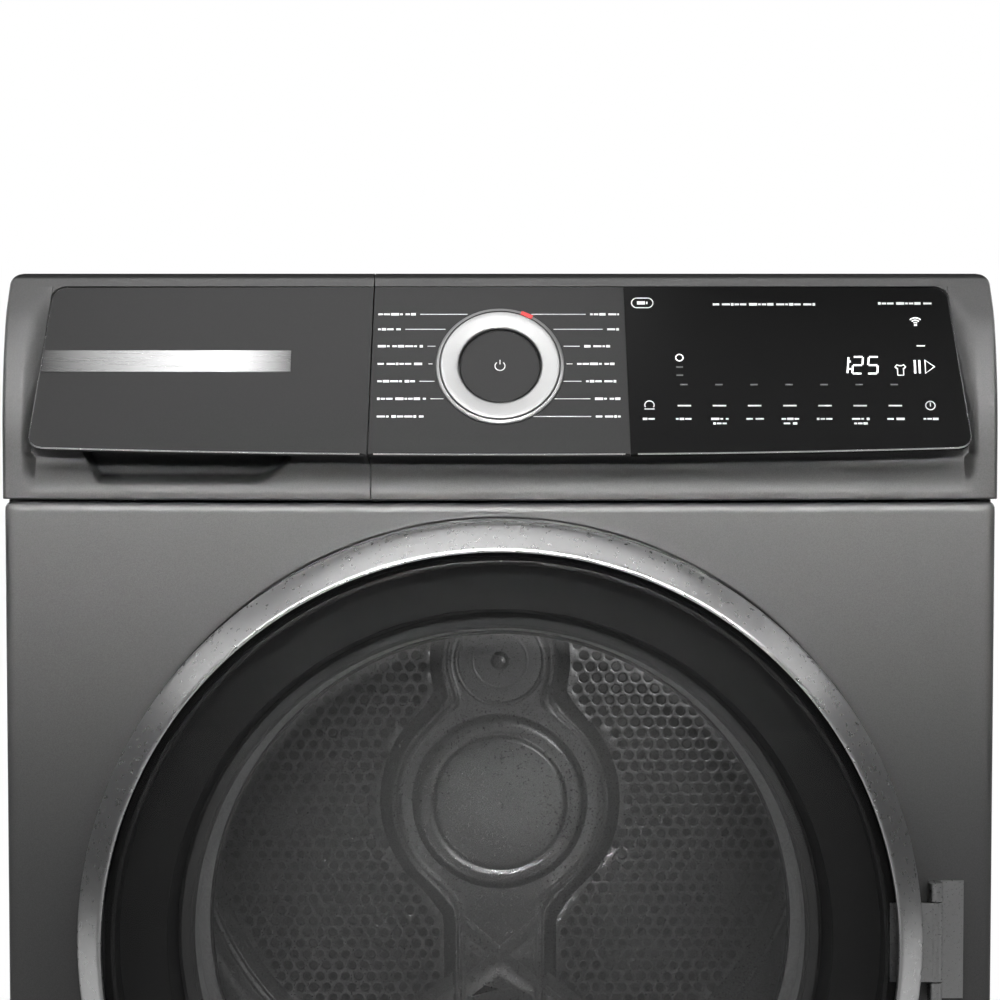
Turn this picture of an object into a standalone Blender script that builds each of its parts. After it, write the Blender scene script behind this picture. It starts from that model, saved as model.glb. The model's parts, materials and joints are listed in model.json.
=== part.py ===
"""Front-loading heat pump tumble dryer, modelled as an assembly of separate solids.

Frame: metres, +Z up, front towards -Y, origin on the floor under the middle of the bounding box.
Distances in front of the front panel's plane are called "forward" here: y = FRONT_Y - forward.
"""

import math

import bmesh
import bpy
from mathutils import Matrix, Vector

# ---------------------------------------------------------------- driving dimensions
HEIGHT = 0.842                  # floor to the control panel's top edge
DEPTH = 0.652                   # rear duct cover to door glass
PANEL_HALF = 0.299              # half the control panel's width
BODY_HALF = 0.298               # half the cabinet's width
FRONT_Y = -0.284                # plane of the steel front panel
REAR_Y = DEPTH / 2              # rearmost face of the duct cover
CABINET_BACK_Y = 0.290          # outer face of the rear panel
SHEET = 0.0012                  # sheet metal thickness
GAP = 0.0005                    # clearance between neighbouring solids
SEAM = 0.0018                   # visible seam between front panels

SEAM_Z = 0.7070                 # bottom edge of the control panel
PLINTH_TOP = 0.098
BODY_LOW = 0.016                # underside of the cabinet
WORKTOP_Z = (0.8240, 0.8395)    # the worktop lies just below the panel's top edge
WORKTOP_FRONT_Y = -0.2225       # behind the control panel's top band

# control panel
TILT = math.radians(28.3)       # lean of the fascia
FASCIA_TOP_Z = 0.834
FASCIA_LOW_Z = 0.7346           # lowest point of the arched lower edge
FASCIA_LIP = 0.01668            # how far that edge stands forward
FASCIA_THICK = 0.003
FASCIA_HALF_TOP = 0.2719
FASCIA_HALF_LOW = 0.2826
FASCIA_ARCH = 0.0047            # rise of the lower edge at its ends
SEAM_TOP_X, SEAM_LOW_X = -0.0765, -0.0792      # drawer front to control panel, at the fascia's top and low edge
SEAM_X = -0.0777                # the same seam in the rail below
DISPLAY_TOP_X, DISPLAY_LOW_X = 0.0751, 0.0780  # left edge of the display window
PANEL_BACK = -0.060             # how far back the panel shells reach
PANEL_WALL = 0.0025

# knob
KNOB_Z = 0.7864
KNOB_R = 0.039
BUTTON_R = 0.0247
BUTTON_TRAVEL = 0.0015

# door
DOOR_Z = 0.440
RING_R = 0.254
GLASS_R = 0.2364
RECESS_R, RECESS_Z = 0.2495, 0.4465
RECESS_DEPTH = 0.003
PORT_R = 0.212                  # hole in the front panel
HINGE_X, HINGE_FORWARD = 0.2625, 0.0085
HINGE_HALF = 0.036
DOOR_STEPS = 40                 # facets of the door's round pieces

# drum and drive
DRUM_Z = 0.445
DRUM_R = 0.284
DRUM_WALL = 0.0012
DRUM_STEPS = 36                 # facets of the drum
DRUM_FRONT_Y = -0.222
DRUM_BACK_Y = 0.236
SHAFT_R = 0.013                 # stub shaft at the drum's back
COLLAR_R = 0.188                # opening of the front bulkhead
ROLLER_R, ROLLER_ANGLE = 0.035, math.radians(38)
ROLLER_Y, ROLLER_WIDTH = -0.203, 0.018
BELT_Y, BELT_WIDTH, BELT_THICK = 0.016, 0.009, 0.003
MOTOR_X, MOTOR_Z, PULLEY_R = 0.190, 0.115, 0.0125
IDLER_R = 0.016
FAN_Y, FAN_R = 0.200, 0.074

# condensate drawer
TANK_X = (-0.283, -0.092)
TANK_Z = (0.7370, 0.8215)
TANK_Y = (-0.2225, 0.235)
DRAWER_TRAVEL = 0.42

FOOT_X, FOOT_Y, FOOT_TRAVEL = 0.255, (-0.225, 0.245), 0.015

# ---------------------------------------------------------------- scene and helpers
for old in list(bpy.data.objects):
    bpy.data.objects.remove(old)


def new_collection(name):
    made = bpy.data.collections.new(name)
    bpy.context.scene.collection.children.link(made)
    return made


PARTS = new_collection("tumble_dryer")
CUTTERS = new_collection("cutters")


def material(name, colour, roughness, metallic=0.0):
    made = bpy.data.materials.new(name)
    made.use_nodes = True
    shader = made.node_tree.nodes["Principled BSDF"]
    shader.inputs["Base Color"].default_value = (*colour, 1.0)
    shader.inputs["Roughness"].default_value = roughness
    shader.inputs["Metallic"].default_value = metallic
    return made


GRAPHITE = material("graphite_paint", (0.16, 0.16, 0.157), 0.42, 0.35)
GRAPHITE_PLASTIC = material("graphite_plastic", (0.15, 0.15, 0.147), 0.5, 0.2)
FASCIA_GREY = material("fascia_grey", (0.09, 0.09, 0.09), 0.35, 0.2)
DISPLAY_BLACK = material("display_black", (0.02, 0.02, 0.021), 0.12)
SILVER = material("silver", (0.68, 0.68, 0.68), 0.28, 0.9)
RED = material("marker_red", (0.75, 0.02, 0.02), 0.4)
DARK_GLASS = material("dark_glass", (0.02, 0.02, 0.02), 0.06)
CLEAR_GLASS = material("clear_glass", (0.5, 0.52, 0.53), 0.05)
BLACK_PLASTIC = material("black_plastic", (0.03, 0.03, 0.032), 0.5)
GREY_PLASTIC = material("grey_plastic", (0.45, 0.46, 0.47), 0.55)
STEEL = material("steel", (0.6, 0.6, 0.6), 0.3, 1.0)
GALVANISED = material("galvanised", (0.5, 0.52, 0.53), 0.45, 0.9)
RUBBER = material("rubber", (0.02, 0.02, 0.02), 0.8)
COPPER = material("copper", (0.72, 0.38, 0.24), 0.35, 1.0)
FELT = material("felt", (0.75, 0.74, 0.7), 0.95)


def place(obj, mat=None, cutter=False):
    """Links an object into its collection; a cutter is hidden from renders and drawn as wire."""
    (CUTTERS if cutter else PARTS).objects.link(obj)
    if mat:
        obj.data.materials.append(mat)
    if cutter:
        obj.hide_render = True
        obj.display_type = "WIRE"
    return obj


def mesh_object(name, bm, mat=None, cutter=False, smooth_deg=35):
    bmesh.ops.recalc_face_normals(bm, faces=bm.faces)
    mesh = bpy.data.meshes.new(name)
    bm.to_mesh(mesh)
    bm.free()
    mesh.shade_smooth()
    mesh.set_sharp_from_angle(angle=math.radians(smooth_deg))
    return place(bpy.data.objects.new(name, mesh), mat, cutter)


def forward(distance):
    """World y of a plane this far in front of the front panel."""
    return FRONT_Y - distance


def add_bevel(obj, width, segments=2, angle_deg=40):
    mod = obj.modifiers.new("edges", "BEVEL")
    mod.width, mod.segments = width, segments
    mod.limit_method, mod.angle_limit = "ANGLE", math.radians(angle_deg)
    return obj


def block(name, low, high, mat=None, bevel=0.0, cutter=False, segments=2):
    """Box between two corners, with its edges rounded."""
    bm = bmesh.new()
    bmesh.ops.create_cube(bm, size=1.0)
    size = Vector(high) - Vector(low)
    bmesh.ops.scale(bm, vec=size, verts=bm.verts)
    bmesh.ops.translate(bm, vec=(Vector(high) + Vector(low)) / 2, verts=bm.verts)
    obj = mesh_object(name, bm, mat, cutter)
    return add_bevel(obj, bevel, segments) if bevel else obj


def cylinder(name, radius, length, centre, axis="Y", mat=None, cutter=False, sides=32, radius2=None):
    """Cylinder or cone about an axis through its centre; radius2 is at its end in the plus direction."""
    bm = bmesh.new()
    bmesh.ops.create_cone(bm, cap_ends=True, segments=sides, radius1=radius,
                          radius2=radius if radius2 is None else radius2, depth=length)
    turn = {"X": Matrix.Rotation(math.pi / 2, 3, "Y"), "Y": Matrix.Rotation(-math.pi / 2, 3, "X"),
            "Z": Matrix.Identity(3)}[axis]
    bmesh.ops.rotate(bm, matrix=turn, verts=bm.verts)
    obj = mesh_object(name, bm, mat, cutter)
    obj.location = centre
    return obj


def turned(name, profile, centre, mat=None, cutter=False, steps=48, tilt=None):
    """Solid of revolution about a horizontal front-to-back axis.

    profile is (radius, forward) pairs. One that touches the axis at both ends is left open there;
    any other is closed. tilt turns the axis up from horizontal, for what sits on the fascia.
    """
    open_ends = profile[0][0] == 0.0 and profile[-1][0] == 0.0
    area = sum(a[0] * b[1] - b[0] * a[1] for a, b in zip(profile, profile[1:] + profile[:1]))
    points = profile if area < 0 else profile[::-1]
    count = len(points)
    edges = [(i, i + 1) for i in range(count - 1)] + ([] if open_ends else [(count - 1, 0)])
    mesh = bpy.data.meshes.new(name)
    mesh.from_pydata([(r, 0.0, f) for r, f in points], edges, [])
    obj = place(bpy.data.objects.new(name, mesh), mat, cutter)
    obj.rotation_euler = (math.pi / 2 - (tilt or 0.0), 0.0, 0.0)
    obj.location = centre
    mod = obj.modifiers.new("turn", "SCREW")
    mod.axis, mod.steps, mod.render_steps = "Z", steps, steps
    mod.use_merge_vertices, mod.merge_threshold = True, 1e-5
    mod.use_smooth_shade = True
    return obj


def outline(name, loops, thickness, location, mat=None, cutter=False, facing="front", tilt=0.0):
    """Flat plate from closed 2D loops, the inner ones being holes. It faces the front, the side or up."""
    curve = bpy.data.curves.new(name, "CURVE")
    curve.dimensions, curve.fill_mode = "2D", "BOTH"
    curve.extrude = thickness / 2
    for loop in loops:
        spline = curve.splines.new("POLY")
        spline.points.add(len(loop) - 1)
        for point, (a, b) in zip(spline.points, loop):
            point.co = (a, b, 0.0, 1.0)
        spline.use_cyclic_u = True
    obj = place(bpy.data.objects.new(name, curve), mat, cutter)
    obj.rotation_euler = {"front": (math.pi / 2 - tilt, 0.0, 0.0), "side": (math.pi / 2, 0.0, math.pi / 2),
                          "up": (0.0, 0.0, 0.0)}[facing]
    obj.location = location
    return obj


def to_mesh(obj):
    """Replaces a curve object with a welded mesh one of the same name, so that it can take a Boolean."""
    bpy.context.view_layer.update()
    evaluated = obj.evaluated_get(bpy.context.evaluated_depsgraph_get())
    mesh = bpy.data.meshes.new_from_object(evaluated)
    bm = bmesh.new()
    bm.from_mesh(mesh)
    bmesh.ops.remove_doubles(bm, verts=bm.verts, dist=1e-6)
    bmesh.ops.recalc_face_normals(bm, faces=bm.faces)
    bm.to_mesh(mesh)
    bm.free()
    name, home, world, hidden = obj.name, obj.users_collection[0], obj.matrix_world.copy(), obj.hide_render
    bpy.data.objects.remove(obj)
    made = bpy.data.objects.new(name, mesh)
    home.objects.link(made)
    made.matrix_world = world
    made.hide_render = hidden
    if hidden:
        made.display_type = "WIRE"
    return made


def combine(target, other, operation):
    mod = target.modifiers.new(operation.lower(), "BOOLEAN")
    mod.operation, mod.solver, mod.object = operation, "EXACT", other
    return target


def cut(target, *others):
    for other in others:
        combine(target, other, "DIFFERENCE")
    return target


def join(target, *others):
    for other in others:
        combine(target, other, "UNION")
    return target


def tube(name, points, radius, mat, resolution=2):
    """Round bar or pipe through the points of a poly line."""
    curve = bpy.data.curves.new(name, "CURVE")
    curve.dimensions, curve.bevel_depth, curve.bevel_resolution = "3D", radius, resolution
    curve.use_fill_caps = True
    spline = curve.splines.new("POLY")
    spline.points.add(len(points) - 1)
    for slot, point in zip(spline.points, points):
        slot.co = (*point, 1.0)
    return place(bpy.data.objects.new(name, curve), mat)


def circle(radius, count, centre=(0.0, 0.0), start=0.0):
    return [(centre[0] + radius * math.cos(start + 2 * math.pi * i / count),
             centre[1] + radius * math.sin(start + 2 * math.pi * i / count)) for i in range(count)]


def rounded_loop(corners, radii, steps=5):
    """Closed loop through corners, each replaced by an arc of its own radius."""
    points = []
    for i, corner in enumerate(corners):
        here = Vector(corner)
        before = (Vector(corners[i - 1]) - here).normalized()
        after = (Vector(corners[(i + 1) % len(corners)]) - here).normalized()
        half = before.angle(after) / 2
        middle = (before + after).normalized()
        radius = radii[i]
        centre = here + middle * radius / math.sin(half)
        first = here + before * radius / math.tan(half) - centre
        last = here + after * radius / math.tan(half) - centre
        turn = math.atan2(first.x * last.y - first.y * last.x, first.dot(last))
        for k in range(steps + 1):
            arm = first.copy()
            arm.rotate(Matrix.Rotation(turn * k / steps, 2))
            points.append(tuple(centre + arm))
    return points


def smooth(value, low, high):
    """Smooth step from 0 at low to 1 at high, in either order."""
    t = max(0.0, min(1.0, (value - low) / (high - low)))
    return t * t * (3 - 2 * t)


# ---------------------------------------------------------------- control panel surface
def fascia_forward(z):
    """How far forward the fascia's front plane is at height z."""
    return FASCIA_LIP - (z - FASCIA_LOW_Z) * math.tan(TILT)


def fascia_half(z):
    share = (z - FASCIA_LOW_Z) / (FASCIA_TOP_Z - FASCIA_LOW_Z)
    return FASCIA_HALF_LOW + (FASCIA_HALF_TOP - FASCIA_HALF_LOW) * share


CHEEK_BENDS = ((0.745, 0.0), (0.812, 0.50), (0.824, 1.10), (HEIGHT, 1.10))    # height, lean back there
CHEEK_X = 0.2882                                                               # the flank beside the fascia starts here


def cheek_forward(z):
    """Side profile of the panel's ends: upright below, leaning back more and more towards the top."""
    depth = 0.0
    for (low, lean), (high, next_lean) in zip(CHEEK_BENDS, CHEEK_BENDS[1:]):
        span = min(max(z, low), high) - low
        depth += span * (lean + (next_lean - lean) * span / (high - low) / 2)
    return -depth


def middle_forward(z):
    """Section between the cheeks: rail, hollow under the fascia's lip, seat behind it, top rail."""
    hollow, seat = -0.010, (FASCIA_THICK + 0.0012) / math.cos(TILT)
    if z < FASCIA_LOW_Z:
        return hollow * smooth(z, 0.7105, 0.7325)
    behind = min(hollow, fascia_forward(z) - seat)
    return behind + (cheek_forward(z) - behind) * smooth(z, FASCIA_TOP_Z + 0.0004, FASCIA_TOP_Z + 0.0012)


def flank_end(z):
    """Level that the cheek's flank reaches beside the fascia: level with it above, in the hollow below."""
    if z > FASCIA_TOP_Z:
        return cheek_forward(z)
    flush = fascia_forward(z) - 0.0006
    return middle_forward(z) + (flush - middle_forward(z)) * smooth(z, 0.780, 0.806)


def grip_depth(x, z):
    """Finger pocket under the drawer front's lip."""
    across = smooth(x, -0.2515, -0.2400) * smooth(x, -0.1265, -0.1450)
    return 0.016 * across * smooth(z, 0.7160, 0.7235) * smooth(z, 0.790, 0.765)


def seam_x(z):
    """The seam between drawer and control panel leans outwards down the fascia, then turns back in the rail."""
    if z < FASCIA_LOW_Z:
        return SEAM_X + (SEAM_LOW_X - SEAM_X) * smooth(z, 0.7220, FASCIA_LOW_Z)
    share = min(1.0, (z - FASCIA_LOW_Z) / (FASCIA_TOP_Z - FASCIA_LOW_Z))
    return SEAM_LOW_X + (SEAM_TOP_X - SEAM_LOW_X) * share


def station_x(x, z):
    """A station beside the seam or the fascia's side edge follows it."""
    if abs(x - SEAM_X) < 0.006:
        return x + seam_x(z) - SEAM_X
    share = max(0.0, min(1.0, (z - FASCIA_LOW_Z) / (FASCIA_TOP_Z - FASCIA_LOW_Z)))
    lean = (FASCIA_HALF_LOW - FASCIA_HALF_TOP) * share
    follow = min(1.0, max(0.0, (CHEEK_X - abs(x)) / (CHEEK_X - 0.2834))) if abs(x) > 0.262 else 0.0
    return x - math.copysign(lean * follow, x)


def panel_forward(x, z):
    """Front surface of the moulded control panel and drawer front; x is its station at the fascia's low edge."""
    low_edge = 0.2834 - 0.0036 * smooth(z, FASCIA_LOW_Z + 0.001, 0.7300)
    flank = min(1.0, max(0.0, (CHEEK_X - abs(x)) / (CHEEK_X - low_edge))) ** 2.2
    surface = cheek_forward(z) + (flank_end(z) - cheek_forward(z)) * flank
    if abs(x) < 0.2832 and z > FASCIA_LOW_Z - 0.0005:
        surface = middle_forward(z)
    round_side = 0.0025 * (1 - math.sqrt(max(0.0, 1 - max(0.0, (abs(x) - 0.2965) / 0.0025) ** 2)))
    round_top = 0.0045 * max(0.0, (z - 0.8385) / 0.0035) ** 2
    round_low = 0.0015 * max(0.0, (SEAM_Z + 0.0012 - z) / 0.0012) ** 2
    return surface - round_side - round_top - round_low - grip_depth(x, z)


def lining_forward(x, z):
    return middle_forward(z) - grip_depth(x, z)


def panel_half(z):
    """Half width of the panel at height z; its top corners are rounded."""
    corner = 0.007
    rise = max(0.0, z - (HEIGHT - corner)) / corner
    return PANEL_HALF - corner * (1 - math.sqrt(max(0.0, 1 - rise * rise)))


def height_block(name, xs, zs, surface, inset, back, mat=None, cutter=False):
    """Closed solid whose front is this surface set back by inset, over the x and z stations."""
    bm = bmesh.new()
    rows = []
    for z in zs:
        corner = PANEL_HALF - panel_half(z)
        rows.append([bm.verts.new((station_x(x, z) - math.copysign(corner * smooth(abs(x), 0.2834, PANEL_HALF), x),
                                   forward(surface(x, z) - inset), z)) for x in xs])
    backs = [[bm.verts.new((v.co.x, forward(back), v.co.z)) for v in row] for row in rows]
    last_row, last = len(zs) - 1, len(xs) - 1
    for j in range(last_row):
        for i in range(last):
            bm.faces.new((rows[j][i], rows[j][i + 1], rows[j + 1][i + 1], rows[j + 1][i]))
            bm.faces.new((backs[j][i], backs[j + 1][i], backs[j + 1][i + 1], backs[j][i + 1]))
        for i in (0, last):
            bm.faces.new((rows[j][i], rows[j + 1][i], backs[j + 1][i], backs[j][i]))
    for i in range(last):
        for j in (0, last_row):
            bm.faces.new((rows[j][i], rows[j][i + 1], backs[j][i + 1], backs[j][i]))
    return mesh_object(name, bm, mat, cutter)


PANEL_ZS = [SEAM_Z, 0.7082, 0.7105, 0.7155, 0.721, 0.7265, FASCIA_LOW_Z, 0.755, 0.770, 0.785, 0.798, 0.810, 0.818,
            0.826, 0.834, 0.8352, 0.8395, HEIGHT]
CHEEK_XS = [0.268, 0.2798, 0.2830, 0.2834, 0.2846, 0.2860, CHEEK_X, 0.2962, 0.2980, PANEL_HALF]
GRIP_XS = [-0.2515, -0.246, -0.240, -0.190, -0.1450, -0.136, -0.1265]


def panel_shell(name, xs, mat):
    """Moulded shell: the panel surface with walls going back, open at the rear; solid behind the cheeks' bulge."""
    outer = height_block(name, xs, PANEL_ZS, panel_forward, 0.0, PANEL_BACK, mat)
    low, high = PANEL_ZS[0] + PANEL_WALL, PANEL_ZS[-1] - PANEL_WALL
    zs = [low] + [z for z in PANEL_ZS if low + 0.001 < z < high - 0.001] + [high]
    inner_xs = [xs[0] + PANEL_WALL] + [x for x in xs if xs[0] + 0.003 < x < xs[-1] - 0.003] + [xs[-1] - PANEL_WALL]
    hollow = height_block(name + "_hollow", inner_xs, zs, lining_forward, PANEL_WALL, PANEL_BACK - 0.01, cutter=True)
    return cut(outer, hollow)


def on_fascia(x, z, height=0.0):
    """World point this far above the fascia's front face, at its x and z."""
    normal = Vector((0.0, -math.cos(TILT), math.sin(TILT)))
    return Vector((x, forward(fascia_forward(z)), z)) + normal * height


FASCIA_MID_Z = (FASCIA_TOP_Z + FASCIA_LOW_Z) / 2


def along_fascia(z):
    """Distance up the fascia's slope from its middle to height z."""
    return (z - FASCIA_MID_Z) / math.cos(TILT)


def lower_edge(x0, x1, steps=8):
    """Points of the fascia's arched lower edge, in the plane of its face."""
    low = along_fascia(FASCIA_LOW_Z)
    return [(x, low + FASCIA_ARCH * (x / FASCIA_HALF_LOW) ** 2)
            for x in (x0 + (x1 - x0) * i / steps for i in range(steps + 1))]


def fascia_loop(low_xs, top_xs):
    """Outline of a stretch of the fascia from its low and top corners, round where it reaches the fascia's ends."""
    top = along_fascia(FASCIA_TOP_Z)
    x0, x1 = low_xs
    outer = (x0 < -0.2, x1 > 0.2)
    edge = lower_edge(x0, x1)
    corners = edge + [(top_xs[1], top), (top_xs[0], top)]
    radii = [0.0078 if outer[0] else 0.0003] + [1e-5] * (len(edge) - 2) + [0.0078 if outer[1] else 0.0003]
    radii += [0.009 if outer[1] else 0.0003, 0.009 if outer[0] else 0.0003]
    loop = []
    for i, radius in enumerate(radii):
        if radius < 1e-4:
            loop.append(corners[i])
            continue
        trio = [corners[i - 1], corners[i], corners[(i + 1) % len(corners)]]
        loop += rounded_loop(trio, [1e-6, radius, 1e-6])[6:12]
    return loop


def fascia_plate(name, low_xs, top_xs, mat, thickness=FASCIA_THICK, lift=0.0):
    middle = on_fascia(0.0, FASCIA_MID_Z, lift - thickness / 2)
    return outline(name, [fascia_loop(low_xs, top_xs)], thickness, middle, mat, tilt=TILT)


def build_control_panel():
    right_xs = [SEAM_X + SEAM / 3, -0.04, 0.0, 0.04, 0.08, 0.14, 0.20, 0.255] + CHEEK_XS
    frame = panel_shell("control_panel_frame", right_xs, GRAPHITE_PLASTIC)
    shaft_hole = turned("shaft_hole", [(0.0, 0.02), (0.0305, 0.02), (0.0305, -0.03), (0.0, -0.03)],
                        on_fascia(0.0, KNOB_Z), cutter=True, steps=24, tilt=TILT)
    cut(frame, shaft_hole)
    half_gap = 0.0003
    plate = to_mesh(fascia_plate("fascia_plate", (SEAM_LOW_X + SEAM / 3, DISPLAY_LOW_X - half_gap),
                                 (SEAM_TOP_X + SEAM / 3, DISPLAY_TOP_X - half_gap), FASCIA_GREY))
    cut(plate, shaft_hole)
    fascia_plate("display_window", (DISPLAY_LOW_X + half_gap, FASCIA_HALF_LOW),
                 (DISPLAY_TOP_X + half_gap, FASCIA_HALF_TOP), DISPLAY_BLACK)
    module = block("control_module", (-0.055, -0.2425, 0.748), (0.262, -0.192, 0.8205), BLACK_PLASTIC, 0.003)
    return module


def build_knob():
    base = on_fascia(0.0, KNOB_Z)
    ring = [(0.0252, -0.012), (0.0252, 0.0012), (0.0265, 0.0019), (0.0335, 0.0027), (0.0355, 0.0026),
            (0.0362, 0.0023), (0.0385, 0.0011), (KNOB_R, 0.0004), (0.0302, 0.0004), (0.0295, -0.0015),
            (0.0295, -0.012)]
    turned("program_knob", ring, base, SILVER, steps=28, tilt=TILT)
    angle = math.radians(25.6)
    bm = bmesh.new()
    inner, outer, half = 0.0362, 0.0386, math.radians(6.2)
    for level in (0.0027, 0.0034):
        for k in range(5):
            turn = angle - half + half * 2 * k / 4
            for r, drop in ((inner, 0.0), (outer, 0.0011)):
                bm.verts.new((r * math.sin(turn), r * math.cos(turn), level - drop))
    bm.verts.ensure_lookup_table()
    for k in range(4):
        a = 2 * k
        for ring_start in (0, 10):
            bm.faces.new([bm.verts[ring_start + i] for i in (a, a + 1, a + 3, a + 2)])
        bm.faces.new([bm.verts[i] for i in (a, a + 2, a + 12, a + 10)])
        bm.faces.new([bm.verts[i] for i in (a + 1, a + 11, a + 13, a + 3)])
    bm.faces.new([bm.verts[i] for i in (0, 10, 11, 1)])
    bm.faces.new([bm.verts[i] for i in (8, 9, 19, 18)])
    marker = mesh_object("knob_marker", bm, RED)
    marker.location = base
    marker.rotation_euler = (math.pi / 2 - TILT, 0.0, 0.0)
    disc = [(0.0, 0.0006), (0.0236, 0.0006), (BUTTON_R, 0.0001), (BUTTON_R, -0.0015), (0.021, -0.0030),
            (0.006, -0.0030), (0.006, -0.011), (0.0, -0.011)]
    turned("power_button", disc, base, FASCIA_GREY, steps=24, tilt=TILT)


def build_drawer():
    left_xs = sorted(-x for x in CHEEK_XS) + [-0.265] + GRIP_XS + [-0.10, SEAM_X - SEAM / 3]
    panel_shell("drawer_front", sorted(set(left_xs)), GRAPHITE_PLASTIC)
    fascia_plate("drawer_fascia", (-FASCIA_HALF_LOW, SEAM_LOW_X - SEAM / 3),
                 (-FASCIA_HALF_TOP, SEAM_TOP_X - SEAM / 3), FASCIA_GREY)
    x0, x1 = TANK_X
    z0, z1 = TANK_Z
    y0, y1 = TANK_Y
    tank = block("condensate_tank", (x0, y0, z0), (x1, y1, z1), GREY_PLASTIC, 0.006)
    wall = 0.0025
    cut(tank, block("tank_inside", (x0 + wall, y0 + wall, z0 + wall), (x1 - wall, y1 - wall, z1 + 0.01),
                    cutter=True))
    channel = block("tank_channel", (x0 - 0.004, -0.205, 0.7330), (x1 + 0.004, 0.242, 0.790), BLACK_PLASTIC)
    inside = block("channel_inside", (x0 - 0.0018, -0.26, 0.7352), (x1 + 0.0018, 0.2395, 0.80), cutter=True)
    cut(channel, inside)


# ---------------------------------------------------------------- cabinet
def pan(name, low, high, wall, mat, bevel):
    """Pressed sheet pan, open at the back, with rounded outer edges."""
    outer = block(name, low, high, mat, bevel, segments=3)
    inside = block(name + "_inside", (low[0] + wall, low[1] + wall, low[2] + wall),
                   (high[0] - wall, high[1] + 0.01, high[2] - wall), cutter=True)
    return cut(outer, inside)


def build_front_panel():
    wall = SHEET
    panel = pan("front_panel", (-BODY_HALF, FRONT_Y, PLINTH_TOP + SEAM), (BODY_HALF, FRONT_Y + 0.022, SEAM_Z - SEAM),
                wall, GRAPHITE, 0.0035)
    centre = (0.0, FRONT_Y, RECESS_Z)
    dish = turned("dish", [(RECESS_R + wall, -0.0002), (RECESS_R + wall, -RECESS_DEPTH - wall),
                           (0.20, -RECESS_DEPTH - wall), (0.20, -RECESS_DEPTH), (RECESS_R, -RECESS_DEPTH),
                           (RECESS_R, -0.0002)], centre, cutter=True, steps=40)
    recess = turned("recess_hole", [(0.0, 0.01), (RECESS_R, 0.01), (RECESS_R, -0.01), (0.0, -0.01)], centre,
                    cutter=True, steps=40)
    port = cylinder("port_hole", PORT_R, 0.06, (0.0, FRONT_Y, DOOR_Z), cutter=True, sides=40)
    hook_slot = block("hook_slot", (-0.2335, FRONT_Y - 0.02, DOOR_Z - 0.013), (-0.2195, FRONT_Y + 0.02, DOOR_Z + 0.013),
                      cutter=True)
    cut(panel, recess)
    join(panel, dish)
    cut(panel, port, hook_slot)


def build_plinth():
    low, high = (-BODY_HALF, FRONT_Y + 0.0015, BODY_LOW + 0.003), (BODY_HALF, FRONT_Y + 0.022, PLINTH_TOP)
    plinth = pan("plinth_grille", low, high, 0.0025, GRAPHITE_PLASTIC, 0.003)
    for k in range(6):
        z = 0.035 + 0.0085 * k
        cut(plinth, block(f"louvre_{k}", (0.045, FRONT_Y - 0.01, z), (0.265, FRONT_Y + 0.01, z + 0.004), cutter=True))


def side_panel(name, side):
    """Side wall with a cut-back for the control panel and folded flanges at its front and back."""
    front_low, front_high, back = FRONT_Y + 0.0225, forward(PANEL_BACK) + 0.0006, CABINET_BACK_Y
    top = WORKTOP_Z[0] - GAP
    loop = [(front_low, BODY_LOW + 0.003), (back, BODY_LOW + 0.003), (back, top), (front_high, top),
            (front_high, SEAM_Z - SEAM), (front_low, SEAM_Z - SEAM)]
    fold = 0.018
    panel = to_mesh(outline(name, [loop], fold, (side * (BODY_HALF - fold / 2), 0.0, 0.0), GRAPHITE, facing="side"))
    near, far = sorted((side * (BODY_HALF - SHEET), side * (BODY_HALF - 0.04)))
    inside = block(name + "_inside", (near, front_low + SHEET, -0.1), (far, back - SHEET, 1.0), cutter=True)
    return cut(panel, inside)


def build_cabinet():
    side_panel("side_panel_left", -1)
    side_panel("side_panel_right", 1)
    block("worktop", (-BODY_HALF, WORKTOP_FRONT_Y, WORKTOP_Z[0]), (BODY_HALF, 0.300, WORKTOP_Z[1]),
          GRAPHITE_PLASTIC, 0.003, segments=3)
    inner = BODY_HALF - 0.0185
    rear = block("rear_panel", (-inner, CABINET_BACK_Y - SHEET, BODY_LOW + 0.004),
                 (inner, CABINET_BACK_Y, WORKTOP_Z[0] - 0.001), GALVANISED)
    cut(rear, cylinder("rear_air_hole", 0.205, 0.05, (0.0, CABINET_BACK_Y, DRUM_Z), cutter=True, sides=32))
    hub = cylinder("bearing_hub", 0.030, 0.028, (0.0, CABINET_BACK_Y - 0.014, DRUM_Z), cutter=True, sides=24)
    beam = block("bearing_beam", (-0.230, CABINET_BACK_Y - 0.005, DRUM_Z - 0.016), (0.230, CABINET_BACK_Y - 0.0001,
                 DRUM_Z + 0.016), cutter=True)
    bore = cylinder("bearing_bore", SHAFT_R + 0.0008, 0.1, (0.0, CABINET_BACK_Y, DRUM_Z), cutter=True, sides=24)
    cut(join(rear, hub, beam), bore)
    cover = [(0.0, -0.610), (0.200, -0.610), (0.212, -0.598), (0.214, -0.5775), (0.232, -0.5775),
             (0.232, -0.5745), (0.2105, -0.5745), (0.2085, -0.5965), (0.1985, -0.6065), (0.0, -0.6065)]
    duct = turned("rear_duct_cover", cover, (0.0, FRONT_Y, DRUM_Z), GALVANISED, steps=24)
    for k in range(5):
        rib_z = DRUM_Z - 0.12 + 0.06 * k
        cut(duct, block(f"rear_slot_{k}", (-0.09, 0.30, rib_z - 0.003), (0.09, 0.34, rib_z + 0.003), cutter=True))
    block("mains_gland", (0.205, CABINET_BACK_Y + 0.0005, 0.700), (0.235, CABINET_BACK_Y + 0.014, 0.730),
          BLACK_PLASTIC, 0.003)


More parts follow.
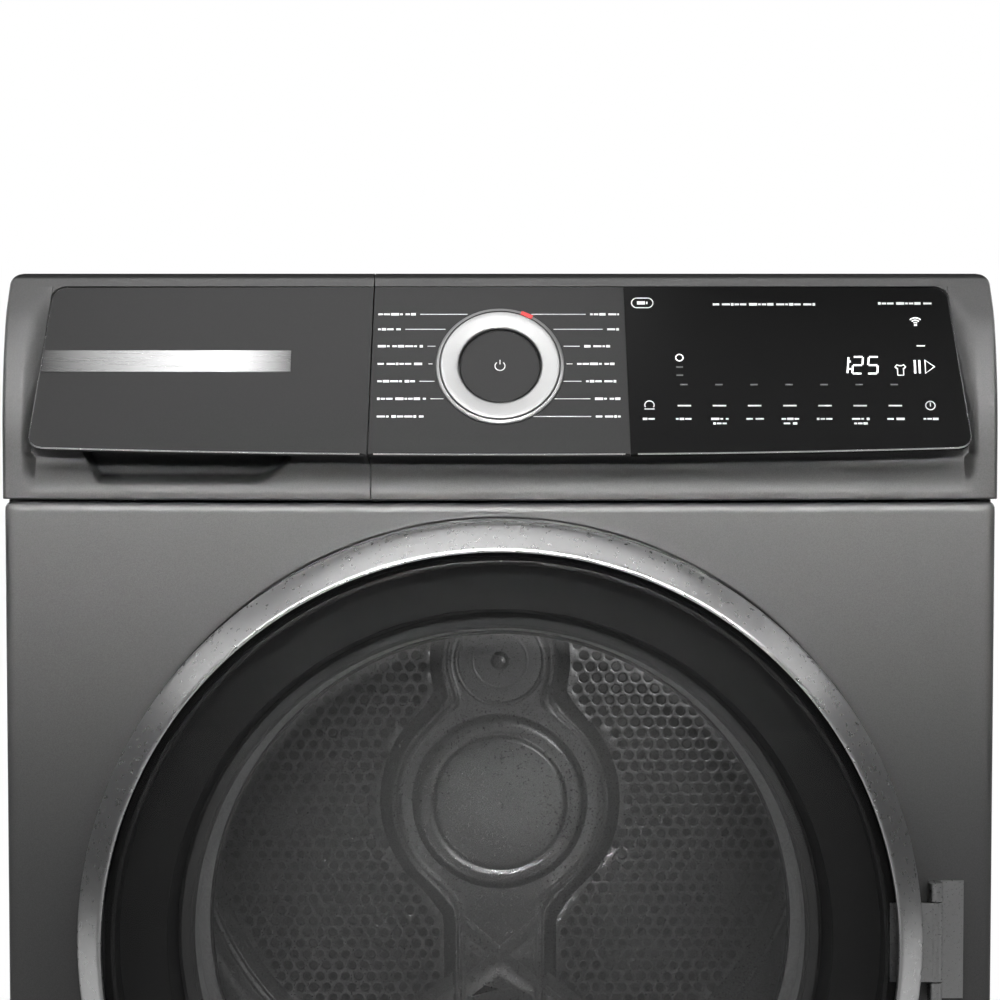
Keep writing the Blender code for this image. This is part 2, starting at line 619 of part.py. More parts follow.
def build_bulkhead():
    """Front bulkhead that carries the door seal, the drum's front seal and the lint filter."""
    back_plate = block("front_bulkhead", (-0.272, forward(-0.050), 0.162), (0.272, forward(-0.047), 0.7015),
                       GREY_PLASTIC)
    collar = turned("collar", [(COLLAR_R, -0.0285), (0.1985, -0.0285), (0.1985, -0.0570), (COLLAR_R, -0.0570)],
                    (0.0, FRONT_Y, DOOR_Z), cutter=True, steps=32)
    hole = cylinder("bulkhead_hole", COLLAR_R + 0.002, 0.02, (0.0, forward(-0.048), DOOR_Z), cutter=True, sides=40)
    housing = block("filter_housing", (-0.118, forward(-0.0500), 0.186), (0.118, forward(-0.0285), 0.250),
                    cutter=True)
    join(cut(back_plate, hole), collar, housing)
    well = block("well_inside", (-0.1150, forward(-0.0480), 0.189), (0.1150, forward(-0.0305), 0.300), cutter=True)
    lamp_centre = (0.0, forward(-0.0455), DOOR_Z + 0.2125)
    lamp_hole = cylinder("lamp_hole", 0.0130, 0.05, lamp_centre, cutter=True, sides=20)
    cut(back_plate, well, lamp_hole)
    filter_frame = block("lint_filter", (-0.1140, forward(-0.0475), 0.190), (0.1140, forward(-0.0310), 0.2465),
                         BLACK_PLASTIC, 0.002)
    cut(filter_frame, block("filter_slot", (-0.104, forward(-0.0430), 0.196), (0.104, forward(-0.0350), 0.27),
                            cutter=True))
    turned("front_felt_seal", [(0.2515, -0.0505), (0.2595, -0.0505), (0.2595, -0.0612), (0.2515, -0.0612)],
           (0.0, FRONT_Y, DRUM_Z), FELT, steps=28)
    turned("drum_lamp", [(0.0, 0.006), (0.012, 0.006), (0.012, -0.006), (0.008, -0.011), (0.0, -0.012)],
           lamp_centre, CLEAR_GLASS, steps=20)


# ---------------------------------------------------------------- door
def build_door():
    centre = (0.0, FRONT_Y, DOOR_Z)
    ring = turned("door_ring", [(RING_R, 0.0045), (RING_R, 0.0195), (0.2532, 0.0212), (0.2405, 0.0360),
                                (0.2390, 0.0370), (0.2370, 0.0370), (0.2370, 0.0305), (0.2392, 0.0305),
                                (0.2508, 0.0180), (0.2512, 0.0165), (0.2512, 0.0045)], centre, SILVER, steps=DOOR_STEPS)
    finger = block("finger_notch", (-0.27, forward(0.0160), DOOR_Z - 0.050), (-0.24, forward(-0.01), DOOR_Z + 0.050),
                   cutter=True)
    hinge_gap = block("ring_hinge_gap", (0.240, forward(0.0170), DOOR_Z - HINGE_HALF - 0.003),
                      (0.27, forward(-0.01), DOOR_Z + HINGE_HALF + 0.003), cutter=True)
    cut(ring, finger, hinge_gap)
    dome = [(GLASS_R * k / 4, 0.0355 + 0.0065 * (1 - (k / 4) ** 2)) for k in range(5)]
    under = [(r, f - 0.004) for r, f in reversed(dome)]
    turned("door_glass", dome + under, centre, DARK_GLASS, steps=DOOR_STEPS)
    frame = [(0.2505, 0.0045), (0.2505, 0.0075), (0.2330, 0.0075), (0.2330, 0.0300), (0.2300, 0.0300),
             (0.2300, 0.0075), (0.2010, 0.0075), (0.1970, -0.0185), (0.1850, -0.0185), (0.1850, -0.0215),
             (0.2005, -0.0215), (0.2045, 0.0045)]
    inner = turned("door_inner_frame", frame, centre, BLACK_PLASTIC, steps=DOOR_STEPS)
    notch = block("frame_finger_notch", (-0.27, forward(0.03), DOOR_Z - 0.0515), (-0.2388, forward(-0.01), DOOR_Z + 0.0515),
                  cutter=True)
    frame_gap = block("frame_hinge_gap", (0.2438, forward(0.020), DOOR_Z - HINGE_HALF - 0.003),
                      (0.27, forward(-0.01), DOOR_Z + HINGE_HALF + 0.003), cutter=True)
    cut(inner, notch, frame_gap)
    bowl = [(0.0, -0.096), (0.110, -0.0885), (0.152, -0.0700), (0.170, -0.0420), (0.1765, -0.0145),
            (0.1945, -0.0145), (0.1945, -0.0180), (0.1820, -0.0182), (0.1740, -0.0440), (0.1554, -0.0728),
            (0.1115, -0.0926), (0.0, -0.1003)]
    turned("door_bowl", bowl, centre, CLEAR_GLASS, steps=DOOR_STEPS)
    turned("door_seal", [(0.1865, -0.0220), (0.1980, -0.0220), (0.1965, -0.0280), (0.1880, -0.0280)], centre, RUBBER,
           steps=DOOR_STEPS)
    leaf = block("door_hinge", (0.2350, forward(0.0125), DOOR_Z - HINGE_HALF + 0.012),
                 (HINGE_X, forward(0.0095), DOOR_Z + HINGE_HALF - 0.012), STEEL)
    knuckle = cylinder("door_knuckle", 0.0045, 2 * HINGE_HALF - 0.024, (HINGE_X, forward(HINGE_FORWARD), DOOR_Z), "Z",
                       cutter=True, sides=24)
    pin_hole = cylinder("pin_hole", 0.0026, 0.1, (HINGE_X, forward(HINGE_FORWARD), DOOR_Z), "Z", cutter=True, sides=24)
    cut(join(leaf, knuckle), pin_hole)
    hook = block("door_hook", (-0.2290, forward(0.0040), DOOR_Z - 0.008), (-0.2250, forward(-0.020), DOOR_Z + 0.008),
                 STEEL)
    barb = block("hook_barb", (-0.2290, forward(-0.014), DOOR_Z - 0.008), (-0.2215, forward(-0.020), DOOR_Z + 0.008),
                 cutter=True)
    join(hook, barb)
    lock = block("door_lock", (-0.2480, forward(-0.0050), DOOR_Z - 0.030), (-0.2130, forward(-0.0270), DOOR_Z + 0.030),
                 BLACK_PLASTIC, 0.001)
    cut(lock, block("lock_throat", (-0.2335, forward(0.01), DOOR_Z - 0.012), (-0.2195, forward(-0.0245), DOOR_Z + 0.012),
                    cutter=True))
    build_hinge_bracket()


def build_hinge_bracket():
    """Fixed plate on the front panel with a bent ear and pin at each end of the door's knuckle."""
    z0, z1 = DOOR_Z - HINGE_HALF, DOOR_Z + HINGE_HALF
    y_plate = forward(0.0003)
    bracket = block("hinge_bracket", (HINGE_X - 0.003, y_plate - 0.002, z0), (HINGE_X + 0.018, y_plate, z1), STEEL)
    for tag, low, high in (("low", z0, z0 + 0.011), ("high", z1 - 0.011, z1)):
        ear = block(f"ear_{tag}", (HINGE_X - 0.003, forward(HINGE_FORWARD), low), (HINGE_X + 0.003, y_plate, high),
                    cutter=True)
        round_end = cylinder(f"ear_round_{tag}", 0.0045, 0.011, (HINGE_X, forward(HINGE_FORWARD), (low + high) / 2),
                             "Z", cutter=True, sides=24)
        join(bracket, ear, round_end)
    pin = cylinder("hinge_pin", 0.0022, 2 * HINGE_HALF - 0.002, (HINGE_X, forward(HINGE_FORWARD), DOOR_Z), "Z",
                   cutter=True, sides=24)
    join(bracket, pin)


# ---------------------------------------------------------------- drum and drive
def build_drum():
    front, back = FRONT_Y - DRUM_FRONT_Y, FRONT_Y - DRUM_BACK_Y
    wall, lip = DRUM_WALL, 0.250
    shell = [(lip, front - 0.0006), (DRUM_R - 0.012, front - 0.0006), (DRUM_R, front - 0.014), (DRUM_R, back),
             (DRUM_R - wall, back), (DRUM_R - wall, front - 0.0145), (DRUM_R - 0.0126, front - 0.0006 - wall),
             (lip, front - 0.0006 - wall)]
    turned("drum_shell", shell, (0.0, FRONT_Y, DRUM_Z), STEEL, steps=DRUM_STEPS)
    hub, edge = back + 0.020, DRUM_R - wall - GAP
    rear = [(0.0, hub), (0.060, hub), (0.072, back + 0.006), (0.215, back + 0.004), (0.250, back + 0.016),
            (edge, back + 0.016), (edge, back + 0.014), (0.252, back + 0.014), (0.216, back + 0.001),
            (0.071, back + 0.002), (0.060, back + 0.016), (SHAFT_R, back + 0.016), (SHAFT_R, back - 0.040),
            (0.0, back - 0.040)]
    turned("drum_rear_wall", rear, (0.0, FRONT_Y, DRUM_Z), STEEL, steps=DRUM_STEPS)
    section = rounded_loop([(-0.036, 0.0), (0.036, 0.0), (0.009, 0.072), (-0.009, 0.072)],
                           [0.0015, 0.0015, 0.008, 0.008], 3)
    depth = abs(back - front)
    for k in range(3):
        turn = math.radians(30 + 120 * k)
        paddle = outline(f"paddle_{k + 1}", [section], depth - 0.060, (0.0, 0.0, 0.0), GREY_PLASTIC)
        reach = math.sqrt(((DRUM_R - wall - GAP) * math.cos(math.pi / DRUM_STEPS)) ** 2 - 0.036 ** 2)
        middle_y = (DRUM_FRONT_Y + DRUM_BACK_Y) / 2 - 0.001
        paddle.rotation_mode = "QUATERNION"
        paddle.rotation_quaternion = (Matrix.Rotation(-(turn + math.pi / 2), 3, "Y")
                                      @ Matrix.Rotation(math.pi / 2, 3, "X")).to_quaternion()
        paddle.location = (reach * math.cos(turn), middle_y, DRUM_Z + reach * math.sin(turn))


def roller_centre(side):
    reach = DRUM_R + ROLLER_R + 0.0004
    return Vector((side * reach * math.sin(ROLLER_ANGLE), ROLLER_Y, DRUM_Z - reach * math.cos(ROLLER_ANGLE)))


def build_rollers():
    for name, side in (("left", -1), ("right", 1)):
        x, y, z = roller_centre(side)
        half = ROLLER_WIDTH / 2
        wheel = [(0.0062, half), (0.012, half), (0.012, half - 0.004), (ROLLER_R - 0.008, half - 0.004),
                 (ROLLER_R - 0.008, half), (ROLLER_R, half), (ROLLER_R, -half), (0.0062, -half)]
        turned(f"roller_{name}", wheel, (x, y, z), RUBBER, steps=18)
        pin_front = forward(-0.0505)
        axle = [(0.0, y - pin_front), (0.0056, y - pin_front), (0.0056, -half - 0.006), (0.0, -half - 0.006)]
        turned(f"roller_axle_{name}", axle, (x, y, z), STEEL, steps=24)


def belt_loop(extra, steps=40):
    """Closed line round the drum and the motor pulley, a distance extra outside their surfaces."""
    big, small = DRUM_R + extra, PULLEY_R + extra
    dx, dz = MOTOR_X, MOTOR_Z - DRUM_Z
    distance, heading = math.hypot(dx, dz), math.atan2(dz, dx)
    open_angle = math.acos((big - small) / distance)
    points = []
    sweep = 2 * math.pi - 2 * open_angle
    for k in range(steps + 1):
        turn = heading + open_angle + sweep * k / steps
        points.append((big * math.cos(turn), DRUM_Z + big * math.sin(turn)))
    for k in range(9):
        turn = heading - open_angle + 2 * open_angle * k / 8
        points.append((MOTOR_X + small * math.cos(turn), MOTOR_Z + small * math.sin(turn)))
    return points


def chord_allowance(radius, steps):
    """Extra radius that keeps a loop's chords outside the round piece it goes over."""
    return radius * (1 / math.cos(math.pi / steps) - 1)


def idler_centre():
    """The idler leans on the belt's outer face, beside the motor pulley."""
    dx, dz = MOTOR_X, MOTOR_Z - DRUM_Z
    heading, distance = math.atan2(dz, dx), math.hypot(dx, dz)
    turn = heading + math.acos((DRUM_R - PULLEY_R) / distance)
    out = Vector((math.cos(turn), math.sin(turn)))
    on_belt = Vector((MOTOR_X, MOTOR_Z)) + out * PULLEY_R
    run = Vector((-out.y, out.x))
    return on_belt + run * 0.060 + out * (BELT_THICK + IDLER_R + 0.0042)


def build_drive():
    slack = chord_allowance(DRUM_R, 40) + 0.0004
    loops = [belt_loop(slack + BELT_THICK), belt_loop(slack)]
    outline("drive_belt", loops, BELT_WIDTH, (0.0, BELT_Y, 0.0), RUBBER)
    shaft = [(0.0, 0.012), (PULLEY_R, 0.012), (PULLEY_R, -0.008), (0.006, -0.010), (0.006, -0.205), (0.0, -0.205)]
    turned("motor_shaft", shaft, (MOTOR_X, BELT_Y, MOTOR_Z), STEEL, steps=24)
    body = [(0.0066, -0.016), (0.040, -0.018), (0.055, -0.026), (0.055, -0.118), (0.040, -0.126), (0.0066, -0.128)]
    turned("motor_stator", body, (MOTOR_X, BELT_Y, MOTOR_Z), GALVANISED, steps=20)
    blades = [(0.0064, 0.016), (0.022, 0.016), (0.030, -0.010), (FAN_R, -0.014), (FAN_R, -0.017), (0.0064, -0.017)]
    wheel = turned("fan_impeller", blades, (MOTOR_X, FAN_Y, MOTOR_Z), BLACK_PLASTIC, steps=20)
    for k in range(9):
        turn = 2 * math.pi * k / 9
        low, high = (0.026, FAN_Y - 0.012, -0.0012), (FAN_R - 0.002, FAN_Y + 0.015, 0.0012)
        vane = block(f"vane_{k}", (low[0], low[1] - FAN_Y, low[2]), (high[0], high[1] - FAN_Y, high[2]), cutter=True)
        vane.location = (MOTOR_X, FAN_Y, MOTOR_Z)
        vane.rotation_euler = (0.0, turn, 0.0)
        join(wheel, vane)
    scroll = [(0.0, -0.0215), (0.077, -0.0215), (0.077, 0.024), (0.030, 0.024), (0.030, 0.0265), (0.0795, 0.0265),
              (0.0795, -0.024), (0.0, -0.024)]
    turned("fan_housing", scroll, (MOTOR_X, FAN_Y, MOTOR_Z), BLACK_PLASTIC, steps=24)
    centre = idler_centre()
    wheel_profile = [(0.0042, 0.0055), (IDLER_R + 0.002, 0.0055), (IDLER_R, 0.0050), (IDLER_R, -0.0050),
                     (IDLER_R + 0.002, -0.0055), (0.0042, -0.0055)]
    turned("idler_pulley", wheel_profile, (centre.x, BELT_Y, centre.y), BLACK_PLASTIC, steps=18)
    arm = block("idler_arm", (centre.x - 0.007, BELT_Y + 0.0065, 0.034), (centre.x + 0.007, BELT_Y + 0.0095,
                centre.y + 0.007), STEEL)
    stub = cylinder("idler_stub", 0.0037, 0.016, (centre.x, BELT_Y + 0.0015, centre.y), cutter=True, sides=20)
    join(arm, stub)


# ---------------------------------------------------------------- base and heat pump
def build_base():
    x, y0, y1 = 0.2790, FRONT_Y + 0.026, 0.2860
    tray = block("base_tray", (-x, y0, BODY_LOW), (x, y1, 0.090), BLACK_PLASTIC, 0.004)
    wall = 0.003
    cut(tray, block("tray_inside", (-x + wall, y0 + wall, BODY_LOW + 0.010), (x - wall, y1 - wall, 0.2), cutter=True))
    for i, foot_x in enumerate((-FOOT_X, FOOT_X)):
        for j, foot_y in enumerate(FOOT_Y):
            boss = cylinder(f"foot_boss_{i}{j}", 0.014, 0.034, (foot_x, foot_y, BODY_LOW + 0.017), "Z", cutter=True,
                            sides=12)
            hole = cylinder(f"foot_hole_{i}{j}", 0.0062, 0.1, (foot_x, foot_y, BODY_LOW + 0.02), "Z", cutter=True,
                            sides=12)
            join(tray, boss)
            cut(tray, hole)
    corners = (("front_left", -FOOT_X, FOOT_Y[0]), ("front_right", FOOT_X, FOOT_Y[0]),
               ("rear_left", -FOOT_X, FOOT_Y[1]), ("rear_right", FOOT_X, FOOT_Y[1]))
    for name, foot_x, foot_y in corners:
        foot = cylinder(f"foot_{name}", 0.021, 0.010, (foot_x, foot_y, 0.005), "Z", RUBBER, sides=16, radius2=0.017)
        stem = cylinder(f"stem_{name}", 0.0052, 0.038, (foot_x, foot_y, 0.027), "Z", cutter=True, sides=12)
        join(foot, stem)


def finned_coil(name, low, high, fins, mat):
    """Heat exchanger: a stack of thin fins along x held by two tube blocks."""
    body = block(name, low, high, mat)
    pitch = (high[0] - low[0]) / fins
    for k in range(fins - 1):
        x = low[0] + pitch * (k + 1)
        for tag, z0, z1 in (("top", (low[2] + high[2]) / 2 + 0.006, high[2] + 0.01),
                            ("low", low[2] - 0.01, (low[2] + high[2]) / 2 - 0.006)):
            cut(body, block(f"{name}_{tag}_{k}", (x - pitch * 0.28, low[1] - 0.01, z0),
                            (x + pitch * 0.28, high[1] + 0.01, z1), cutter=True))
    return body


def build_heat_pump():
    finned_coil("evaporator", (-0.262, -0.190, 0.034), (-0.062, -0.085, 0.138), 8, GALVANISED)
    finned_coil("condenser_coil", (-0.262, -0.060, 0.034), (-0.062, 0.065, 0.138), 8, GALVANISED)
    cover = block("base_cover", (-0.2715, -0.200, 0.0280), (-0.052, 0.110, 0.1455), BLACK_PLASTIC, 0.003)
    cut(cover, block("cover_inside", (-0.2685, -0.23, 0.020), (-0.055, 0.14, 0.1425), cutter=True))
    profile = [(0.0, 0.160), (0.020, 0.159), (0.042, 0.150), (0.052, 0.132), (0.054, 0.105), (0.054, 0.035),
               (0.048, 0.012), (0.036, 0.002), (0.0, 0.0)]
    compressor = turned("compressor", profile, (0.213, -0.115, 0.0275), BLACK_PLASTIC, steps=18)
    compressor.rotation_euler = (0.0, 0.0, 0.0)
    pipe = [(0.1560, -0.150, 0.150), (0.130, -0.152, 0.150), (0.118, -0.152, 0.140), (0.112, -0.152, 0.120),
            (0.104, -0.152, 0.108), (0.090, -0.152, 0.104), (-0.0505, -0.152, 0.104)]
    tube("refrigerant_pipe", pipe, 0.005, COPPER)
    pump = [(0.0, 0.070), (0.014, 0.068), (0.016, 0.040), (0.030, 0.036), (0.032, 0.004), (0.0, 0.0)]
    made = turned("condensate_pump", pump, (-0.200, 0.195, 0.0280), BLACK_PLASTIC, steps=18)
    made.rotation_euler = (0.0, 0.0, 0.0)
    x, y = -0.262, 0.264
    route = [(-0.200, 0.195, 0.0990), (-0.201, 0.199, 0.112), (-0.206, 0.210, 0.124), (-0.220, 0.230, 0.134),
             (-0.244, 0.252, 0.146), (x + 0.004, y - 0.004, 0.162), (x, y, 0.180), (x, y, 0.700), (x, y, 0.735),
             (x + 0.003, y, 0.750), (x + 0.010, y - 0.003, 0.762), (x + 0.018, y - 0.009, 0.768)]
    tube("condensate_hose", route, 0.006, GREY_PLASTIC)


def hang_on_axis(name, location, children):
    """Empty on a joint's axis, with the pieces that move about or along it as its children."""
    empty = bpy.data.objects.new(name, None)
    empty.empty_display_size = 0.05
    empty.location = location
    PARTS.objects.link(empty)
    for child in children:
        piece = bpy.data.objects[child]
        piece.parent = empty
        piece.matrix_parent_inverse = Matrix.Translation(-Vector(location))


build_control_panel()
build_knob()
build_drawer()
build_front_panel()
build_plinth()
build_cabinet()
build_bulkhead()
build_door()
build_drum()
build_rollers()
build_drive()
build_base()
build_heat_pump()

hang_on_axis("door_axis", (HINGE_X, forward(HINGE_FORWARD), DOOR_Z),
             ("door_ring", "door_glass", "door_inner_frame", "door_bowl", "door_seal", "door_hinge", "door_hook"))
hang_on_axis("drum_axis", (0.0, 0.0, DRUM_Z), ("drum_shell", "drum_rear_wall", "paddle_1", "paddle_2", "paddle_3"))
hang_on_axis("drawer_axis", (sum(TANK_X) / 2, TANK_Y[0], sum(TANK_Z) / 2),
             ("drawer_front", "drawer_fascia", "condensate_tank"))
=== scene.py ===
"""Studio view of a graphite tumble dryer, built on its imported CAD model.

Metres, +Z up, front towards -Y. "Forward" means in front of the steel front panel's plane.
The control panel and the door face are rebuilt finely; the other CAD nodes get materials.
"""

import json
import math

import bmesh
import bpy
from mathutils import Matrix, Vector


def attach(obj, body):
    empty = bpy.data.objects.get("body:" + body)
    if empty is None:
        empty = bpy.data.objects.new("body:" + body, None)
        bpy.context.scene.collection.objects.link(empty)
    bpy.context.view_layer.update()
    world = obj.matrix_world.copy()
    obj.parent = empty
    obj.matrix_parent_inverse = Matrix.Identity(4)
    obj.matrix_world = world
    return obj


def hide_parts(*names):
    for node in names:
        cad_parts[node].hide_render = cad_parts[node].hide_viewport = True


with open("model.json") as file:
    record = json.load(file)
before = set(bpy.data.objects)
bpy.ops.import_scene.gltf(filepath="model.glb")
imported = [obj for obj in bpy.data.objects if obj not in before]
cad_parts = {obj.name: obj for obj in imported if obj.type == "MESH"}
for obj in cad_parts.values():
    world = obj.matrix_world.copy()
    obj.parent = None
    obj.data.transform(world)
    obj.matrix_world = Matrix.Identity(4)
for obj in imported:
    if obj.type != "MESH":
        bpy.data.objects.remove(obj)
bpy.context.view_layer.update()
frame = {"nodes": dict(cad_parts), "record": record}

# ------------ dimensions, as in the CAD
HEIGHT = 0.842
PANEL_HALF = 0.299
BODY_HALF = 0.298
FRONT_Y = -0.284
SEAM_Z = 0.7070
SEAM = 0.0018
PLINTH_TOP = 0.098

TILT = math.radians(28.3)
FASCIA_TOP_Z = 0.834
FASCIA_LOW_Z = 0.7346
FASCIA_LIP = 0.01668
FASCIA_THICK = 0.003
FASCIA_HALF_TOP = 0.2719
FASCIA_HALF_LOW = 0.2826
FASCIA_ARCH = 0.0047
SEAM_X = -0.0777
SEAM_TOP_X, SEAM_LOW_X = -0.0765, -0.0792        # the drawer's seam leans with the fascia's sides
DISPLAY_TOP_X, DISPLAY_LOW_X = 0.0751, 0.0780
SAG = 0.0009                                     # the seam under the panel dips in the middle
PANEL_BACK = -0.060
PANEL_WALL = 0.0025
KNOB_Z = 0.7864
# painted shade along the rounded top edge: the plastic's colour darkens to this level between these heights
TOP_SHADE_LOW_Z, TOP_SHADE_HIGH_Z, TOP_SHADE_LEVEL = 0.8385, 0.8400, 0.06
# painted reflection: the strip's colour runs dark, bright, dark between these places
BADGE_REFLECTION_LEFT, BADGE_REFLECTION_RIGHT = -0.278, -0.126         # run of the strip's brightness

DOOR_Z = 0.440
RING_R = 0.254
GLASS_R = 0.2364
RECESS_R, RECESS_Z = 0.2495, 0.4465
RECESS_DEPTH = 0.003
PORT_R = 0.212
HINGE_HALF = 0.036

DRUM_Z = 0.445
DRUM_R = 0.284
DRUM_WALL = 0.0012
DRUM_FRONT_Y = -0.222
DRUM_BACK_Y = 0.236
SHAFT_R = 0.013

SLOPE = (FASCIA_TOP_Z - FASCIA_LOW_Z) / math.cos(TILT)      # length of the fascia's slope
KNOB_SLOPE = (FASCIA_TOP_Z - KNOB_Z) / math.cos(TILT)


# ------------ materials
def new_material(name, colour, roughness, metallic=0.0, **sockets):
    mat = bpy.data.materials.new(name)
    mat.use_nodes = True
    shader = mat.node_tree.nodes["Principled BSDF"]
    shader.inputs["Base Color"].default_value = (*colour, 1.0)
    shader.inputs["Roughness"].default_value = roughness
    shader.inputs["Metallic"].default_value = metallic
    for socket, value in sockets.items():
        shader.inputs[socket.replace("_", " ")].default_value = value
    return mat


def add_node(tree, kind, *sources, operation=None):
    """New shader node whose first inputs come from these outputs."""
    node = tree.nodes.new("ShaderNode" + kind)
    if operation:
        node.operation = operation
    for socket, source in zip(node.inputs, sources):
        tree.links.new(source, socket)
    return node


def feed(mat, socket, source):
    """Links a source to one of the inputs of the material's own shader."""
    mat.node_tree.links.new(source, mat.node_tree.nodes["Principled BSDF"].inputs[socket])


def object_noise(mat, scale, detail=2.0, stretch=(1.0, 1.0, 1.0)):
    """Noise fixed to the piece, its scale in cells per metre."""
    tree = mat.node_tree
    mapping = add_node(tree, "Mapping", add_node(tree, "TexCoord").outputs["Object"])
    mapping.inputs["Scale"].default_value = stretch
    noise = add_node(tree, "TexNoise", mapping.outputs["Vector"])
    noise.inputs["Scale"].default_value = scale
    noise.inputs["Detail"].default_value = detail
    return noise


def map_range(tree, source, low, high, to_low, to_high, smoothed=False):
    """Values of the source between low and high, spread over a new range."""
    node = add_node(tree, "MapRange", source)
    if smoothed:
        node.interpolation_type = "SMOOTHSTEP"
    for socket, value in (("From Min", low), ("From Max", high), ("To Min", to_low), ("To Max", to_high)):
        node.inputs[socket].default_value = value
    return node.outputs["Result"]


def object_axis(tree, axis):
    """One coordinate of the piece itself."""
    return add_node(tree, "SeparateXYZ", add_node(tree, "TexCoord").outputs["Object"]).outputs[axis]


def add_bump(mat, noise, distance, strength=1.0):
    bump = add_node(mat.node_tree, "Bump")
    bump.inputs["Distance"].default_value = distance
    bump.inputs["Strength"].default_value = strength
    mat.node_tree.links.new(noise.outputs["Fac"], bump.inputs["Height"])
    feed(mat, "Normal", bump.outputs["Normal"])


def add_variation(mat, noise, dark, light):
    """Colour that wanders between two shades with the noise."""
    ramp = add_node(mat.node_tree, "ValToRGB", noise.outputs["Fac"])
    for element, place, colour in zip(ramp.color_ramp.elements, (0.35, 0.65), (dark, light)):
        element.position = place
        element.color = (*colour, 1.0)
    feed(mat, "Base Color", ramp.outputs["Color"])


def add_roughness(mat, noise, low, high):
    feed(mat, "Roughness", map_range(mat.node_tree, noise.outputs["Fac"], 0.3, 0.7, low, high))


def grey(value, warm=0.0):
    return (value * (1 + warm), value, value * (1 - warm))


def graphite_paint():
    """Satin metallic paint: fine flake in the colour and a faint orange peel."""
    mat = new_material("graphite_paint_fine", grey(0.105), 0.42, 0.45)
    add_variation(mat, object_noise(mat, 2600.0, 1.0), grey(0.094, 0.006), grey(0.122, 0.006))
    add_bump(mat, object_noise(mat, 420.0, 2.0), 0.00002, 0.5)
    return mat


def graphite_plastic():
    """Moulded plastic with a fine spark-eroded grain, and painted shade along the panel's top edge."""
    mat = new_material("graphite_plastic_fine", grey(0.08), 0.48, 0.25)
    add_variation(mat, object_noise(mat, 1900.0, 1.0), grey(0.070, 0.006), grey(0.094, 0.006))
    add_bump(mat, object_noise(mat, 1500.0, 2.0), 0.00008, 0.6)
    # painted shade: the colour darkens along the panel's rounded top edge
    paint_shade_above(mat, TOP_SHADE_LOW_Z, TOP_SHADE_HIGH_Z, TOP_SHADE_LEVEL)
    return mat


def paint_shade_above(mat, low, high, shade):
    """Painted shade along the panel's rounded top edge: the colour darkens with height."""
    tree = mat.node_tree
    source = tree.nodes["Principled BSDF"].inputs["Base Color"].links[0].from_socket
    scale = add_node(tree, "VectorMath", source, operation="SCALE")
    fade = map_range(tree, object_axis(tree, "Z"), low, high, 1.0, shade, smoothed=True)
    tree.links.new(fade, scale.inputs["Scale"])
    feed(mat, "Base Color", scale.outputs["Vector"])


def glossed(name, shade, roughness, metallic, scale, low, high, **sockets):
    """Even colour whose gloss wanders a little over the piece."""
    mat = new_material(name, grey(shade), roughness, metallic, **sockets)
    add_roughness(mat, object_noise(mat, scale), low, high)
    return mat


def fascia_grey():
    mat = new_material("fascia_grey_fine", grey(0.018), 0.34, 0.1, Specular_IOR_Level=0.18)
    add_variation(mat, object_noise(mat, 2400.0, 1.0), grey(0.016), grey(0.020))
    return mat


def badge_silver():
    """Brushed strip whose colour carries a painted reflection: brightest three quarters along, darker towards
    both ends.
    """
    mat = new_material("badge_silver", grey(0.6), 0.3, 0.85)
    tree = mat.node_tree
    # painted reflection: the colour runs dark, bright, dark along the strip
    along = map_range(tree, object_axis(tree, "X"), BADGE_REFLECTION_LEFT, BADGE_REFLECTION_RIGHT, 0.0, 1.0)
    ramp = add_node(tree, "ValToRGB", along)
    ramp.color_ramp.elements.new(0.74)
    for element, shade in zip(ramp.color_ramp.elements, (0.03, 0.48, 0.08)):
        element.color = (*grey(shade), 1.0)
    feed(mat, "Base Color", ramp.outputs["Color"])
    add_roughness(mat, object_noise(mat, 900.0, 2.0, (0.02, 1.0, 1.0)), 0.24, 0.36)
    return mat


def simple(name, colour, roughness, metallic, bump_scale, bump_depth, shades=0.12):
    """Plain moulded or sheet material with a little bump and shade variation."""
    mat = new_material(name, colour, roughness, metallic)
    dark = tuple(c * (1 - shades) for c in colour)
    light = tuple(c * (1 + shades) for c in colour)
    add_variation(mat, object_noise(mat, bump_scale * 0.5), dark, light)
    add_bump(mat, object_noise(mat, bump_scale), bump_depth)
    return mat


def brushed_steel():
    mat = new_material("drum_steel", grey(0.55), 0.3, 1.0)
    streaks = object_noise(mat, 700.0, 3.0, (1.0, 0.03, 1.0))
    add_roughness(mat, streaks, 0.24, 0.40)
    add_bump(mat, streaks, 0.00002, 0.5)
    return mat


